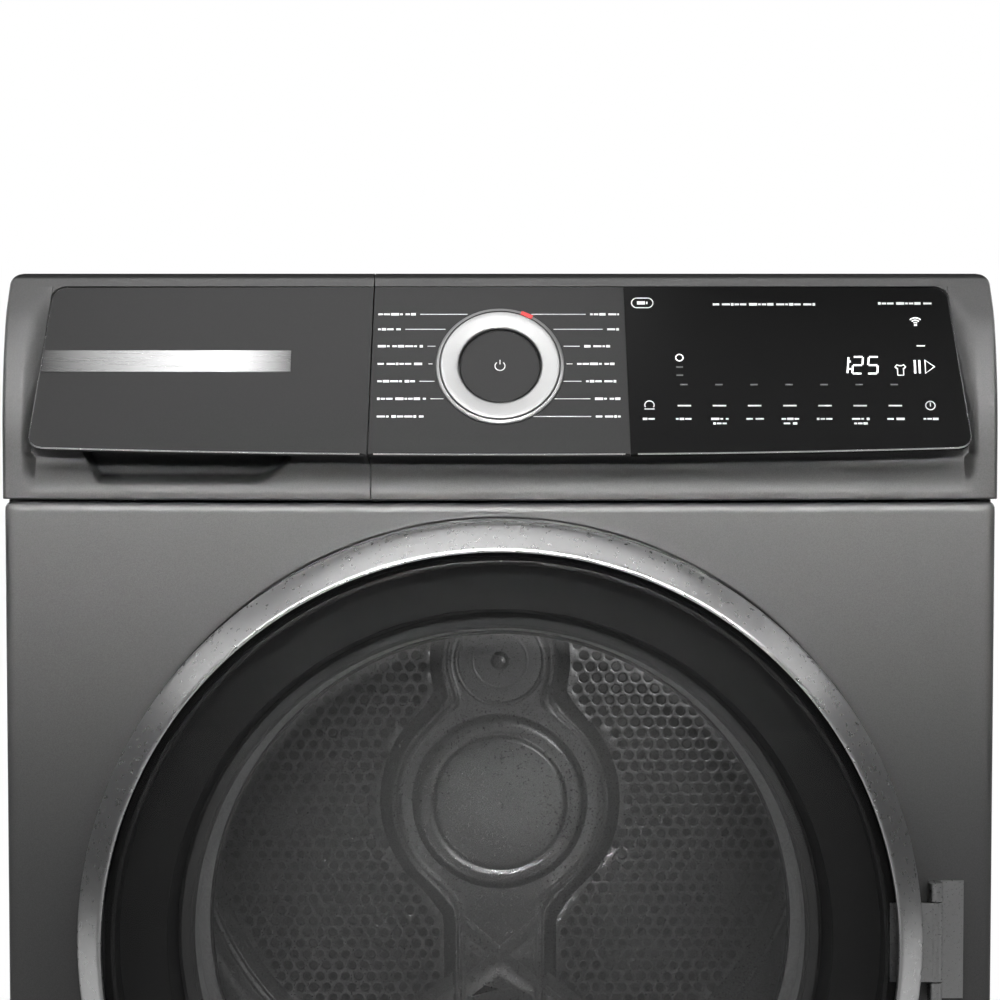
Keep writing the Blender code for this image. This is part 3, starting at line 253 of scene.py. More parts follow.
MATS = {
    "graphite_paint": graphite_paint(),
    "graphite_plastic": graphite_plastic(),
    "fascia_grey": fascia_grey(),
    "bright_edge": glossed("fascia_bright_edge", 0.62, 0.22, 0.9, 300.0, 0.18, 0.28),
    "display_black": glossed("display_black_fine", 0.005, 0.22, 0.0, 90.0, 0.20, 0.24,
                             Specular_IOR_Level=0.05),
    "silver": glossed("satin_silver", 0.70, 0.28, 0.92, 240.0, 0.27, 0.29),
    "knob_silver": glossed("knob_silver", 0.28, 0.42, 0.92, 240.0, 0.41, 0.43),
    "badge_silver": badge_silver(),
    "marker_red": simple("marker_red_fine", (0.62, 0.012, 0.012), 0.35, 0.0, 900.0, 0.00001, 0.05),
    "dark_glass": glossed("smoked_glass", 0.015, 0.03, 0.0, 12.0, 0.02, 0.04, Alpha=0.16),
    "clear_glass": glossed("bowl_glass", 0.55, 0.04, 0.0, 18.0, 0.03, 0.06, Alpha=0.10),
    "black_plastic": simple("black_plastic_fine", grey(0.018), 0.42, 0.0, 1600.0, 0.00006, 0.2),
    "grey_plastic": simple("grey_plastic_fine", grey(0.42), 0.5, 0.0, 1400.0, 0.00006),
    "steel": brushed_steel(),
    "galvanised": simple("galvanised_fine", grey(0.5), 0.4, 0.9, 60.0, 0.00003, 0.18),
    "rubber": simple("rubber_fine", grey(0.02), 0.75, 0.0, 900.0, 0.0001, 0.25),
    "copper": simple("copper_fine", (0.72, 0.38, 0.24), 0.32, 1.0, 300.0, 0.00002),
    "compressor_black": simple("compressor_enamel", grey(0.02), 0.3, 0.0, 200.0, 0.00004, 0.2),
    "felt": simple("felt_fine", (0.66, 0.64, 0.6), 0.95, 0.0, 2400.0, 0.0004, 0.2),
    "print_white": glossed("print_white", 0.75, 0.5, 0.0, 3000.0, 0.45, 0.55),
    "glow_white": glossed("display_glow", 0.8, 0.4, 0.0, 3000.0, 0.35, 0.45,
                          Emission_Color=(1.0, 1.0, 1.0, 1.0), Emission_Strength=0.75),
    "print_dim": glossed("print_dim", 0.13, 0.5, 0.0, 3000.0, 0.45, 0.55),
}


# ------------ mesh helpers
def link_object(name, data):
    obj = bpy.data.objects.new(name, data)
    bpy.context.scene.collection.objects.link(obj)
    return obj


def to_mesh(bm, name):
    mesh = bpy.data.meshes.new(name)
    bm.to_mesh(mesh)
    bm.free()
    return mesh


def mesh_from(bm, name, mats, body, smooth_deg=32):
    """Piece on a body, with these materials and smooth shading."""
    bmesh.ops.recalc_face_normals(bm, faces=bm.faces)
    mesh = to_mesh(bm, name)
    mesh.shade_smooth()
    mesh.set_sharp_from_angle(angle=math.radians(smooth_deg))
    obj = link_object(name, mesh)
    for mat in mats:
        mesh.materials.append(MATS[mat])
    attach(obj, body)
    return obj


def forward(distance):
    return FRONT_Y - distance


def smooth(value, low, high):
    t = max(0.0, min(1.0, (value - low) / (high - low)))
    return t * t * (3 - 2 * t)


def rounded(profile, radius, steps=4):
    """Closed profile with each corner replaced by a short arc of up to this radius."""
    points = []
    count = len(profile)
    for i in range(count):
        here = Vector(profile[i])
        before = Vector(profile[i - 1]) - here
        after = Vector(profile[(i + 1) % count]) - here
        reach = min(radius, before.length * 0.45, after.length * 0.45)
        first = here + before.normalized() * reach
        last = here + after.normalized() * reach
        for k in range(steps + 1):
            t = k / steps
            points.append(tuple(first * (1 - t) ** 2 + here * 2 * t * (1 - t) + last * t * t))
    return points


def loft(bm, loops):
    """Bands of faces between closed loops of vertices."""
    count = len(loops[0])
    for low, high in zip(loops, loops[1:]):
        for i in range(count):
            j = (i + 1) % count
            bm.faces.new((low[i], low[j], high[j], high[i]))


def fill_flat(bm, loops):
    """Flat net of triangles between closed loops of vertices, the holes among them left open."""
    edges = [bm.edges.get((loop[i], loop[(i + 1) % len(loop)])) for loop in loops for i in range(len(loop))]
    bmesh.ops.triangle_fill(bm, use_beauty=True, edges=edges)


def around(count):
    """Angles of one full turn in equal steps."""
    return [2 * math.pi * k / count for k in range(count)]


def lathe(name, profile, centre, mats, body, steps=192, tilt=0.0, closed=True, face_mat=None):
    """Turned piece about a front-to-back axis; the profile is (radius, forward) pairs.

    tilt leans the axis back, for what sits on the fascia. face_mat picks a material index from the
    middle of each profile segment.
    """
    bm = bmesh.new()
    rings = []
    for turn in around(steps):
        c, s = math.cos(turn), math.sin(turn)
        rings.append([None if r < 1e-7 else bm.verts.new((r * c, -f, r * s)) for r, f in profile])
    poles = {i: bm.verts.new((0.0, -f, 0.0)) for i, (r, f) in enumerate(profile) if r < 1e-7}
    count = len(profile)
    for k in range(steps):
        here, there = rings[k], rings[(k + 1) % steps]
        for i in range(count if closed else count - 1):
            j = (i + 1) % count
            corners = [here[i] or poles[i], there[i] or poles[i], there[j] or poles[j], here[j] or poles[j]]
            unique = list(dict.fromkeys(corners))
            if len(unique) < 3:
                continue
            face = bm.faces.new(unique)
            if face_mat:
                (r0, f0), (r1, f1) = profile[i], profile[j]
                face.material_index = face_mat((r0 + r1) / 2, (f0 + f1) / 2)
    if tilt:
        bmesh.ops.rotate(bm, matrix=Matrix.Rotation(-tilt, 3, "X"), verts=bm.verts)
    bmesh.ops.translate(bm, vec=centre, verts=bm.verts)
    return mesh_from(bm, name, mats, body)


def box_cutter(low, high):
    bm = bmesh.new()
    bmesh.ops.create_cube(bm, size=1.0)
    bmesh.ops.scale(bm, vec=Vector(high) - Vector(low), verts=bm.verts)
    bmesh.ops.translate(bm, vec=(Vector(high) + Vector(low)) / 2, verts=bm.verts)
    return link_object("cutter", to_mesh(bm, "cutter"))


def cut_boxes(obj, boxes):
    """Takes boxes out of a finished piece and keeps its shading."""
    for low, high in boxes:
        cutter = box_cutter(low, high)
        mod = obj.modifiers.new("cut", "BOOLEAN")
        mod.operation, mod.solver, mod.object = "DIFFERENCE", "EXACT", cutter
        bpy.context.view_layer.update()
        evaluated = obj.evaluated_get(bpy.context.evaluated_depsgraph_get())
        mesh = bpy.data.meshes.new_from_object(evaluated)
        obj.modifiers.clear()
        old = obj.data
        obj.data = mesh
        bpy.data.meshes.remove(old)
        bpy.data.objects.remove(cutter)
    obj.data.set_sharp_from_angle(angle=math.radians(32))


# ------------ control panel surface
def fascia_forward(z):
    return FASCIA_LIP - (z - FASCIA_LOW_Z) * math.tan(TILT)


CHEEK_BENDS = ((0.745, 0.0), (0.812, 0.50), (0.824, 1.10), (HEIGHT, 1.10))    # height, lean back there
CHEEK_X = 0.2882                                         # the flank beside the fascia starts here


def cheek_forward(z):
    """Side profile of the panel's ends: upright below, leaning back more and more towards the top."""
    depth = 0.0
    for (low, lean), (high, next_lean) in zip(CHEEK_BENDS, CHEEK_BENDS[1:]):
        span = min(max(z, low), high) - low
        depth += span * (lean + (next_lean - lean) * span / (high - low) / 2)
    return -depth


def middle_forward(z):
    """Section between the cheeks: rail, hollow under the fascia's lip, seat behind it, top rail."""
    hollow, seat = -0.010, (FASCIA_THICK + 0.0012) / math.cos(TILT)
    if z < FASCIA_LOW_Z:
        return hollow * smooth(z, 0.7105, 0.7325)
    behind = min(hollow, fascia_forward(z) - seat)
    return behind + (cheek_forward(z) - behind) * smooth(z, FASCIA_TOP_Z, FASCIA_TOP_Z + 0.0004)


def flank_end(z):
    """Level that the cheek's flank reaches beside the fascia: level with it above, in the hollow below."""
    if z > FASCIA_TOP_Z:
        return cheek_forward(z)
    flush = fascia_forward(z) - 0.0006
    return middle_forward(z) + (flush - middle_forward(z)) * smooth(z, 0.780, 0.806)


def grip_depth(x, z):
    """Finger pocket in the drawer front: slanted on the left, rounded up to the right."""
    left = -0.2515 + (0.7336 - z) * 0.54
    floor = 0.7160 + 25.0 * max(0.0, x + 0.150) ** 2
    across = smooth(x, left, left + 0.0030) * smooth(x, -0.1245, -0.1285)
    return 0.016 * across * smooth(z, floor, floor + 0.0050) * smooth(z, 0.790, 0.765)


def plate_corner(x, z):
    """How far (x, z) lies outside the fascia's rounded top corner; x is a station at its low edge."""
    radius = 0.009
    across = abs(x) - (FASCIA_HALF_LOW - radius)
    up = (z - FASCIA_TOP_Z) / math.cos(TILT) + radius
    return math.hypot(across, up) - radius if across > 0 and up > 0 else -radius


def panel_forward(x, z):
    """Front surface of the moulded panel; x is its station at the fascia's low edge."""
    low_edge = 0.2829 - 0.0031 * smooth(z, FASCIA_LOW_Z + 0.001, 0.7300)
    flank = min(1.0, max(0.0, (CHEEK_X - abs(x)) / (CHEEK_X - low_edge))) ** 2.2
    surface = cheek_forward(z) + (flank_end(z) - cheek_forward(z)) * flank
    if z > FASCIA_LOW_Z - 0.0005:
        seat = smooth(abs(x), 0.2831, 0.2828)
        surface += (middle_forward(z) - surface) * seat
        surface += (cheek_forward(z) - surface) * seat * smooth(plate_corner(x, z), 0.0001, 0.0006)
    round_side = 0.0025 * (1 - math.sqrt(max(0.0, 1 - max(0.0, (abs(x) - 0.2965) / 0.0025) ** 2)))
    round_top = 0.0045 * max(0.0, (z - 0.8385) / 0.0035) ** 2
    round_low = 0.0015 * max(0.0, (SEAM_Z + 0.0012 - z) / 0.0012) ** 2
    return surface - round_side - round_top - round_low - grip_depth(x, z)


def station_x(x, z):
    """Where a station lies at height z: it follows the seam, the fascia's side edge or the top corner."""
    if abs(x - SEAM_X) < 0.006:
        return x + seam_x(z) - SEAM_X
    share = max(0.0, min(1.0, (z - FASCIA_LOW_Z) / (FASCIA_TOP_Z - FASCIA_LOW_Z)))
    lean = (FASCIA_HALF_LOW - FASCIA_HALF_TOP) * share
    follow = min(1.0, max(0.0, (CHEEK_X - abs(x)) / (CHEEK_X - 0.2831))) * smooth(abs(x), 0.2530, 0.2700)
    corner = (PANEL_HALF - panel_half(z)) * smooth(abs(x), 0.2834, PANEL_HALF)
    return x - math.copysign(lean * follow + corner, x)


def panel_half(z):
    corner = 0.007
    rise = max(0.0, z - (HEIGHT - corner)) / corner
    return PANEL_HALF - corner * (1 - math.sqrt(max(0.0, 1 - rise * rise)))


def seam_x(z):
    if z < FASCIA_LOW_Z:
        return SEAM_X + (SEAM_LOW_X - SEAM_X) * smooth(z, 0.7220, FASCIA_LOW_Z)
    share = min(1.0, (z - FASCIA_LOW_Z) / (FASCIA_TOP_Z - FASCIA_LOW_Z))
    return SEAM_LOW_X + (SEAM_TOP_X - SEAM_LOW_X) * share


def sagged(x, z):
    """Height with the dip of the seam under the panel."""
    dip = SAG * (1 - (x / PANEL_HALF) ** 2)
    return z - dip * smooth(z, 0.7180, 0.7080) * smooth(z, 0.6900, 0.7040)


def spread(low, high, step):
    count = max(1, round((high - low) / step))
    return [low + (high - low) * k / count for k in range(count)]


def stations(start, *stretches):
    """Places from the start on; the stretches are a step and an end each, and the last end is left out."""
    places = []
    for step, end in zip(stretches[::2], stretches[1::2]):
        places += spread(start, end, step)
        start = end
    return places


def panel_shell(name, xs, body):
    """Finely stepped moulded front, its rim running back, and a shallow recess in its rear side."""
    zs = stations(SEAM_Z, 0.0003, 0.7085, 0.0008, 0.737, 0.0022, 0.8250, 0.0008, 0.8330, 0.0002, 0.8350,
                  0.0005, HEIGHT) + [HEIGHT]
    bm = bmesh.new()

    front = [[bm.verts.new((station_x(x, z), forward(panel_forward(x, z)), sagged(x, z))) for x in xs]
             for z in zs]
    rows, cols = len(zs), len(xs)
    for j in range(rows - 1):
        for i in range(cols - 1):
            bm.faces.new((front[j][i], front[j][i + 1], front[j + 1][i + 1], front[j + 1][i]))
    loop = [front[0][i] for i in range(cols)] + [front[j][-1] for j in range(1, rows)]
    loop += [front[-1][i] for i in range(cols - 2, -1, -1)] + [front[j][0] for j in range(rows - 2, 0, -1)]
    back = [bm.verts.new((v.co.x, forward(PANEL_BACK), v.co.z)) for v in loop]
    centre_x = (xs[0] + xs[-1]) / 2
    lining = []
    for v in back:
        pull_x = PANEL_WALL if v.co.x < centre_x else -PANEL_WALL
        near_side = abs(v.co.x - xs[0]) < 0.006 or abs(v.co.x - xs[-1]) < 0.006
        pull_z = PANEL_WALL if v.co.z < SEAM_Z + 0.001 else (-PANEL_WALL if v.co.z > HEIGHT - 0.001 else 0.0)
        lining.append(bm.verts.new((v.co.x + (pull_x if near_side else 0.0), v.co.y, v.co.z + pull_z)))
    deep = [bm.verts.new((v.co.x, forward(-0.045), v.co.z)) for v in lining]
    loft(bm, [loop, back, lining, deep])
    bm.faces.new(deep)
    return mesh_from(bm, name, ["graphite_plastic"], body, smooth_deg=38)


def on_fascia(x, slope, height=0.0):
    """Point on the fascia: x across, slope measured down from its top edge, height off its face."""
    z = FASCIA_TOP_Z - slope * math.cos(TILT)
    normal = Vector((0.0, -math.cos(TILT), math.sin(TILT)))
    return Vector((x, forward(fascia_forward(z)), z)) + normal * height


def fascia_loop(low_xs, top_xs):
    """Outline as (x, slope) pairs, anticlockwise from its lower left corner; its low edge is bowed."""
    steps, small = 48, 0.0006

    def low_slope(x):
        return SLOPE - FASCIA_ARCH * (x / FASCIA_HALF_LOW) ** 2

    low = [low_xs[0] + (low_xs[1] - low_xs[0]) * i / steps for i in range(steps + 1)]
    corners = [(x, low_slope(x)) for x in low] + [(top_xs[1], 0.0), (top_xs[0], 0.0)]
    wide_left, wide_right = low_xs[0] < -0.2, low_xs[1] > 0.2
    radii = [0.0078 if wide_left else small] + [0.0] * (steps - 1) + [0.0078 if wide_right else small]
    radii += [0.009 if wide_right else small, 0.009 if wide_left else small]
    loop = []
    for i, radius in enumerate(radii):
        here = Vector(corners[i])
        if radius == 0.0:
            if min((here - Vector(corners[k])).length / radii[k] for k in (0, steps)) > 0.98:
                loop.append(here)
            continue
        before = Vector(corners[i - 1]) - here
        after = Vector(corners[(i + 1) % len(corners)]) - here
        before = Vector((-1.0, 0.0)) if before.length < radius * 1.2 else before.normalized()
        after = Vector((1.0, 0.0)) if after.length < radius * 1.2 else after.normalized()
        half = before.angle(after) / 2
        centre = here + (before + after).normalized() * radius / math.sin(half)
        first = here + before * radius / math.tan(half) - centre
        last = here + after * radius / math.tan(half) - centre
        turn = math.atan2(first.x * last.y - first.y * last.x, first.dot(last))
        for k in range(13):
            arm = first.copy()
            arm.rotate(Matrix.Rotation(turn * k / 12, 2))
            loop.append(centre + arm)
    return loop


def inset(loop, distances):
    """Loop moved inwards along its own normals, by one distance per point."""
    moved = []
    count = len(loop)
    for i in range(count):
        along = (loop[(i + 1) % count] - loop[i - 1]).normalized()
        moved.append(loop[i] + Vector((along.y, -along.x)) * distances[i])
    return moved


def beside_plate(point):
    """True on the edges where two plates meet, which have no bright chamfer."""
    share = point.y / SLOPE
    seam = SEAM_TOP_X + (SEAM_LOW_X - SEAM_TOP_X) * share
    display = DISPLAY_TOP_X + (DISPLAY_LOW_X - DISPLAY_TOP_X) * share
    return min(abs(point.x - seam), abs(point.x - display)) < 0.0010


def plate(name, loop, mats, body, thickness=FASCIA_THICK, edge=0.0007, hole=None, lift=0.0):
    """Flat plate on the fascia's plane with a bright chamfer round its front and an optional round hole."""
    bm = bmesh.new()

    def ring(points, height):
        return [bm.verts.new(on_fascia(p.x, p.y, height + lift)) for p in points]

    meets = [beside_plate(p) for p in loop]
    widths = [min(edge, 0.00008) if meet else edge for meet in meets]
    under = ring(loop, -thickness)
    shoulder = [bm.verts.new(on_fascia(p.x, p.y, lift - w)) for p, w in zip(loop, widths)]
    face_edge = ring(inset(loop, widths), 0.0)
    count = len(loop)
    for low, high, bright in ((under, shoulder, 0), (shoulder, face_edge, 1)):
        for i in range(count):
            face = bm.faces.new((low[i], low[(i + 1) % count], high[(i + 1) % count], high[i]))
            face.material_index = 0 if meets[i] or meets[(i + 1) % count] else bright
    rims = []
    if hole:
        x, slope, radius = hole
        circle = [Vector((x + radius * math.cos(t), slope + radius * math.sin(t))) for t in around(96)]
        rims = [ring(circle, -thickness), ring(circle, 0.0)]
        loft(bm, rims)
    fill_flat(bm, [under] + rims[:1])
    fill_flat(bm, [face_edge] + rims[1:])
    return mesh_from(bm, name, mats, body, 20)


# ------------ marks printed on the fascia
def strip_mesh(bm, corners, top, thickness=0.00012):
    """One raised flat mark through these (x, slope) corners."""
    face_up = [bm.verts.new(on_fascia(x, s, top)) for x, s in corners]
    face_low = [bm.verts.new(on_fascia(x, s, top - thickness)) for x, s in corners]
    bm.faces.new(face_up)
    bm.faces.new(face_low[::-1])
    loft(bm, [face_low, face_up])


def bar(bm, x0, x1, slope, height, top=0.00022):
    low, high = slope + height / 2, slope - height / 2
    strip_mesh(bm, [(x0, low), (x1, low), (x1, high), (x0, high)], top)


def stroke(bm, points, width, top=0.00022):
    """Line of this width through (x, slope) points, as one ribbon."""
    vectors = [Vector(p) for p in points]
    sides = []
    closed = (vectors[0] - vectors[-1]).length < 1e-7
    last = len(vectors) - 1
    for i, here in enumerate(vectors):
        before = vectors[i - 1] if i else (vectors[-2] if closed else here)
        after = vectors[i + 1] if i < last else (vectors[1] if closed else here)
        along = (after - before).normalized()
        across = Vector((-along.y, along.x)) * width / 2
        sides.append((here + across, here - across))
    for (a0, b0), (a1, b1) in zip(sides, sides[1:]):
        strip_mesh(bm, [tuple(a0), tuple(b0), tuple(b1), tuple(a1)], top)


def arc(x, slope, radius, start, end, steps=14):
    """Points of an arc; angles in degrees, anticlockwise from the right as seen from the front."""
    turns = [math.radians(start + (end - start) * k / steps) for k in range(steps + 1)]
    return [(x + radius * math.cos(t), slope - radius * math.sin(t)) for t in turns]


def greeked(bm, x0, x1, slope, height, seed):
    """Row of small dashes that stands for a printed label, with word-like lengths and gaps."""
    x = x0
    step = 0
    while x < x1 - 0.0008:
        step += 1
        length = 0.0016 + 0.0011 * ((seed * 7 + step * 5) % 4)
        end = min(x1, x + length)
        bar(bm, x, end, slope, height * (0.72 if (seed + step) % 3 else 1.0))
        x = end + (0.0006 if (seed + step) % 4 else 0.0017)


def finish_marks(bm, name, mat, body):
    return mesh_from(bm, name, [mat], body, 20)


LAST_ROW = 0.0876
LEFT_ROWS = (                               # slope of a label beside the knob, and its leader line's ends
    (0.0188, -0.0483, -0.0197), (0.0290, -0.0573, -0.0330), (0.0405, -0.0438, -0.0390),
    (0.0524, -0.0431, -0.0407), (0.0641, -0.0484, -0.0394), (0.0758, -0.0417, -0.0339))
RIGHT_ROWS = (                              # the same, with the label's end
    (0.0188, 0.0191, 0.0519, 0.0722), (0.0290, 0.0324, 0.0621, 0.0727), (0.0405, 0.0384, 0.0481, 0.0665),
    (0.0524, 0.0401, 0.0437, 0.0690), (0.0641, 0.0382, 0.0490, 0.0700), (0.0758, 0.0327, 0.0542, 0.0722),
    (LAST_ROW, 0.0200, 0.0546, 0.0722))


def programme_labels():
    bm = bmesh.new()
    for row, (slope, x0, x1) in enumerate(LEFT_ROWS):
        bar(bm, x0, x1, slope, 0.00042)
        greeked(bm, -0.0738, x0 - 0.0028, slope, 0.0016, row)
    greeked(bm, -0.0738, -0.0450, LAST_ROW, 0.0016, 6)
    for row, (slope, x0, x1, end) in enumerate(RIGHT_ROWS):
        bar(bm, x0, x1, slope, 0.00042)
        greeked(bm, x1 + 0.0028, end, slope, 0.0016, row + 9)
    finish_marks(bm, "programme_labels", "print_white", "cabinet")


SEGMENTS = {"1": "bc", "2": "abged", "5": "afgcd"}
SEGMENT_ENDS = {"a": (-1, 1, 1, 1), "b": (1, 1, 1, 0), "c": (1, 0, 1, -1), "d": (-1, -1, 1, -1),
                "e": (-1, 0, -1, -1), "f": (-1, 1, -1, 0), "g": (-1, 0, 1, 0)}     # across and up, twice
DISPLAY_LABELS = (                          # ends, slope, height and seed of the row of dashes
    (0.1293, 0.1920, 0.0120, 0.0017, 3), (0.2297, 0.2626, 0.0114, 0.0017, 5),
    (0.0832, 0.0896, 0.0110, 0.0022, 2), (0.0855, 0.0937, 0.0892, 0.0014, 8),
    (0.2535, 0.2625, 0.0892, 0.0014, 9))
KEY_XS = [0.1105 + 0.02108 * k for k in range(7)]          # row of touch keys under the display


def digit(bm, char, x, slope, width, height):
    """One seven-segment digit, leaning a little, with its middle at (x, slope)."""
    lean, thick, gap = 0.10, 0.0011, 0.0003
    for name in SEGMENTS[char]:
        ax, az, bx, bz = (end * size / 2 for end, size in zip(SEGMENT_ENDS[name], (width, height) * 2))
        a = Vector((ax + az * lean, az))
        b = Vector((bx + bz * lean, bz))
        along = (b - a).normalized() * gap
        a, b = a + along, b - along
        stroke(bm, [(x + a.x, slope - a.y), (x + b.x, slope - b.y)], thick)


def display_marks():
    glow = bmesh.new()
    time_slope, height = 0.0533, 0.0112
    for char, x in (("1", 0.2068), ("2", 0.2155), ("5", 0.2248)):
        digit(glow, char, x, time_slope, 0.0058, height)
    for offset in (-0.0025, 0.0025):
        bar(glow, 0.21035, 0.21145, time_slope + offset, 0.0011)
    shirt_x = 0.2412
    shoulder = ((0.0032, 0.0545), (0.0020, 0.0530), (0.0007, 0.0536))
    side = ((0.0022, 0.0556), (0.0018, 0.0552), (0.0018, 0.0600))
    shirt = [(shirt_x - x, s) for x, s in shoulder]
    shirt += [(shirt_x + x, s) for x, s in shoulder[::-1] + side]
    shirt += [(shirt_x - x, s) for x, s in side[::-1]]
    stroke(glow, shirt + [shirt[0]], 0.0006)
    for x in (0.2500, 0.2528):
        bar(glow, x - 0.0006, x + 0.0006, 0.0543, 0.0088)
    stroke(glow, [(0.2562, 0.0499), (0.2562, 0.0587), (0.2618, 0.0543), (0.2562, 0.0499)], 0.0008)
    for k, radius in enumerate((0.0014, 0.0030, 0.0046)):
        stroke(glow, arc(0.2517, 0.0258, radius, 45, 135), 0.0007)
    bar(glow, 0.2508, 0.2526, 0.0262, 0.0010)
    bar(glow, 0.2517, 0.2567, 0.0402, 0.0007)
    stroke(glow, arc(0.1082, 0.0482, 0.0022, 0, 360, 20), 0.0006)
    finish_marks(glow, "display_lit_marks", "glow_white", "cabinet")

    white = bmesh.new()
    for label in DISPLAY_LABELS:
        greeked(white, *label)
    pill = arc(0.0832, 0.0110, 0.0033, 90, 270) + arc(0.0896, 0.0110, 0.0033, -90, 90)
    stroke(white, pill + [pill[0]], 0.0006)
    for k, x in enumerate(KEY_XS):
        bar(white, x - 0.0040, x + 0.0040, 0.0804, 0.0009)
        greeked(white, x - 0.0052, x + 0.0052, 0.0892, 0.0014, k + 1)
        if k % 2:
            greeked(white, x - 0.0040, x + 0.0040, 0.0922, 0.0014, k + 4)
    stroke(white, arc(0.0896, 0.0800, 0.0028, -30, 210), 0.0006)
    bar(white, 0.0866, 0.0926, 0.0826, 0.0006)
    stroke(white, arc(0.2580, 0.0803, 0.0028, 0, 360, 20), 0.0006)
    bar(white, 0.2577, 0.2583, 0.0796, 0.0026)
    finish_marks(white, "display_printed_marks", "print_white", "cabinet")

    dim = bmesh.new()
    for x in KEY_XS:
        bar(dim, x - 0.0022, x + 0.0022, 0.0663, 0.0008)
    for slope in (0.0545, 0.0600):
        bar(dim, 0.1062, 0.1102, slope, 0.0008)
    finish_marks(dim, "display_dim_marks", "print_dim", "cabinet")


# ------------ control panel pieces
def build_control_panel():
    fine = stations(0.2680, 0.0009, 0.2826, 0.0001, 0.2832, 0.0004, CHEEK_X, 0.0010, 0.2960, 0.00025,
                    PANEL_HALF) + [PANEL_HALF]
    right = [SEAM_X + SEAM / 5, SEAM_X + 0.0015] + spread(-0.07, 0.2680, 0.01) + fine
    shell = panel_shell("control_panel_shell", right, "cabinet")
    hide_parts("control_panel_frame")
    left = [-x for x in reversed(fine)]
    left += stations(-0.2675, 0.003, -0.2540, 0.0007, -0.2360, 0.008, -0.1540, 0.0010, -0.1200,
                     0.008, -0.0800) + [SEAM_X - 0.0015, SEAM_X - SEAM / 5]
    drawer = panel_shell("drawer_front_shell", left, "drawer")
    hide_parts("drawer_front")

    gap, tight = SEAM / 5, 0.00003
    hole = (0.0, KNOB_SLOPE, 0.0305)
    for name, node, body, look, low_xs, top_xs, opening in (
            ("fascia_middle", "fascia_plate", "cabinet", "fascia_grey",
             (SEAM_LOW_X + gap, DISPLAY_LOW_X - tight), (SEAM_TOP_X + gap, DISPLAY_TOP_X - tight), hole),
            ("display_glass", "display_window", "cabinet", "display_black",
             (DISPLAY_LOW_X + tight, FASCIA_HALF_LOW), (DISPLAY_TOP_X + tight, FASCIA_HALF_TOP), None),
            ("drawer_fascia_plate", "drawer_fascia", "drawer", "fascia_grey",
             (-FASCIA_HALF_LOW, SEAM_LOW_X - gap), (-FASCIA_HALF_TOP, SEAM_TOP_X - gap), None)):
        piece = plate(name, fascia_loop(low_xs, top_xs), [look, "bright_edge"], body, hole=opening)
        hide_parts(node)

    def left_edge(slope):
        return -(FASCIA_HALF_TOP + (FASCIA_HALF_LOW - FASCIA_HALF_TOP) * slope / SLOPE) + 0.0012

    low, high, right_end = 0.0580, 0.0433, -0.1262
    corners = (left_edge(low), low), (right_end, low), (right_end, high), (left_edge(high), high)
    plate("badge_strip", [Vector(corner) for corner in corners], ["badge_silver", "badge_silver"], "drawer",
          thickness=0.0003, edge=0.0002, lift=0.0005)


def build_knob():
    base = on_fascia(0.0, KNOB_SLOPE)
    ring = rounded([
        (0.0249, -0.0120), (0.0249, 0.0012), (0.0258, 0.0019), (0.0335, 0.0027), (0.0357, 0.0026),
        (0.0361, 0.0020), (0.0361, 0.0012), (0.0366, 0.0012), (0.0366, 0.0020), (0.0386, 0.0012),
        (0.0390, 0.0004), (0.0302, 0.0004), (0.0295, -0.0015), (0.0295, -0.0120)], 0.0004, 3)

    def shade(radius, height):
        return 1 if 0.0359 < radius < 0.0367 and height < 0.0019 else 0

    knob = lathe("knob_ring", ring, base, ["knob_silver", "black_plastic"], "knob", tilt=TILT,
                 face_mat=shade)
    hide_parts("program_knob")
    rim = rounded([(0.0234, 0.0006), (0.0244, 0.0001), (0.0244, -0.0007), (0.0225, -0.0011)], 0.0003, 3)
    disc = [(0.0, 0.0003), (0.0180, 0.0003)] + rim + [(0.0060, -0.0011), (0.0060, -0.0110), (0.0, -0.0110)]
    button = lathe("power_button_disc", disc, base, ["fascia_grey"], "power_button", steps=128, tilt=TILT,
                   closed=False)
    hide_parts("power_button")
    marker = bmesh.new()
    turn, half = 90 - 25.6, 5.6                 # the mark's middle and half its width, in degrees
    inner, outer = (arc(0.0, KNOB_SLOPE, r, turn + half, turn - half, 6) for r in (0.0362, 0.0387))
    for k in range(6):
        strip_mesh(marker, [inner[k], outer[k], outer[k + 1], inner[k + 1]], 0.0024, 0.0012)
    mark = finish_marks(marker, "knob_position_mark", "marker_red", "knob")
    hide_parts("knob_marker")
    power = bmesh.new()
    stroke(power, arc(0.0, KNOB_SLOPE, 0.0030, -230, 50, 24), 0.0006, 0.0007)
    bar(power, -0.0003, 0.0003, KNOB_SLOPE - 0.0026, 0.0030, 0.0007)
    finish_marks(power, "power_symbol", "print_white", "power_button")


# ------------ cabinet front
def rounded_rectangle(x0, x1, z0, z1, radius, directions, centre):
    """Points where rays from the centre meet a rectangle with rounded corners."""
    points = []
    for dx, dz in directions:
        sides = ((x1 if dx > 0 else x0) - centre[0], dx), ((z1 if dz > 0 else z0) - centre[1], dz)
        reach = min(way / share for way, share in sides if abs(share) > 1e-9)
        px, pz = centre[0] + dx * reach, centre[1] + dz * reach
        cx = min(max(px, x0 + radius), x1 - radius)
        cz = min(max(pz, z0 + radius), z1 - radius)
        if (px < x0 + radius or px > x1 - radius) and (pz < z0 + radius or pz > z1 - radius):
            arm = Vector((px - cx, pz - cz))
            arm = arm.normalized() * radius
            px, pz = cx + arm.x, cz + arm.y
        points.append((px, pz))
    return points


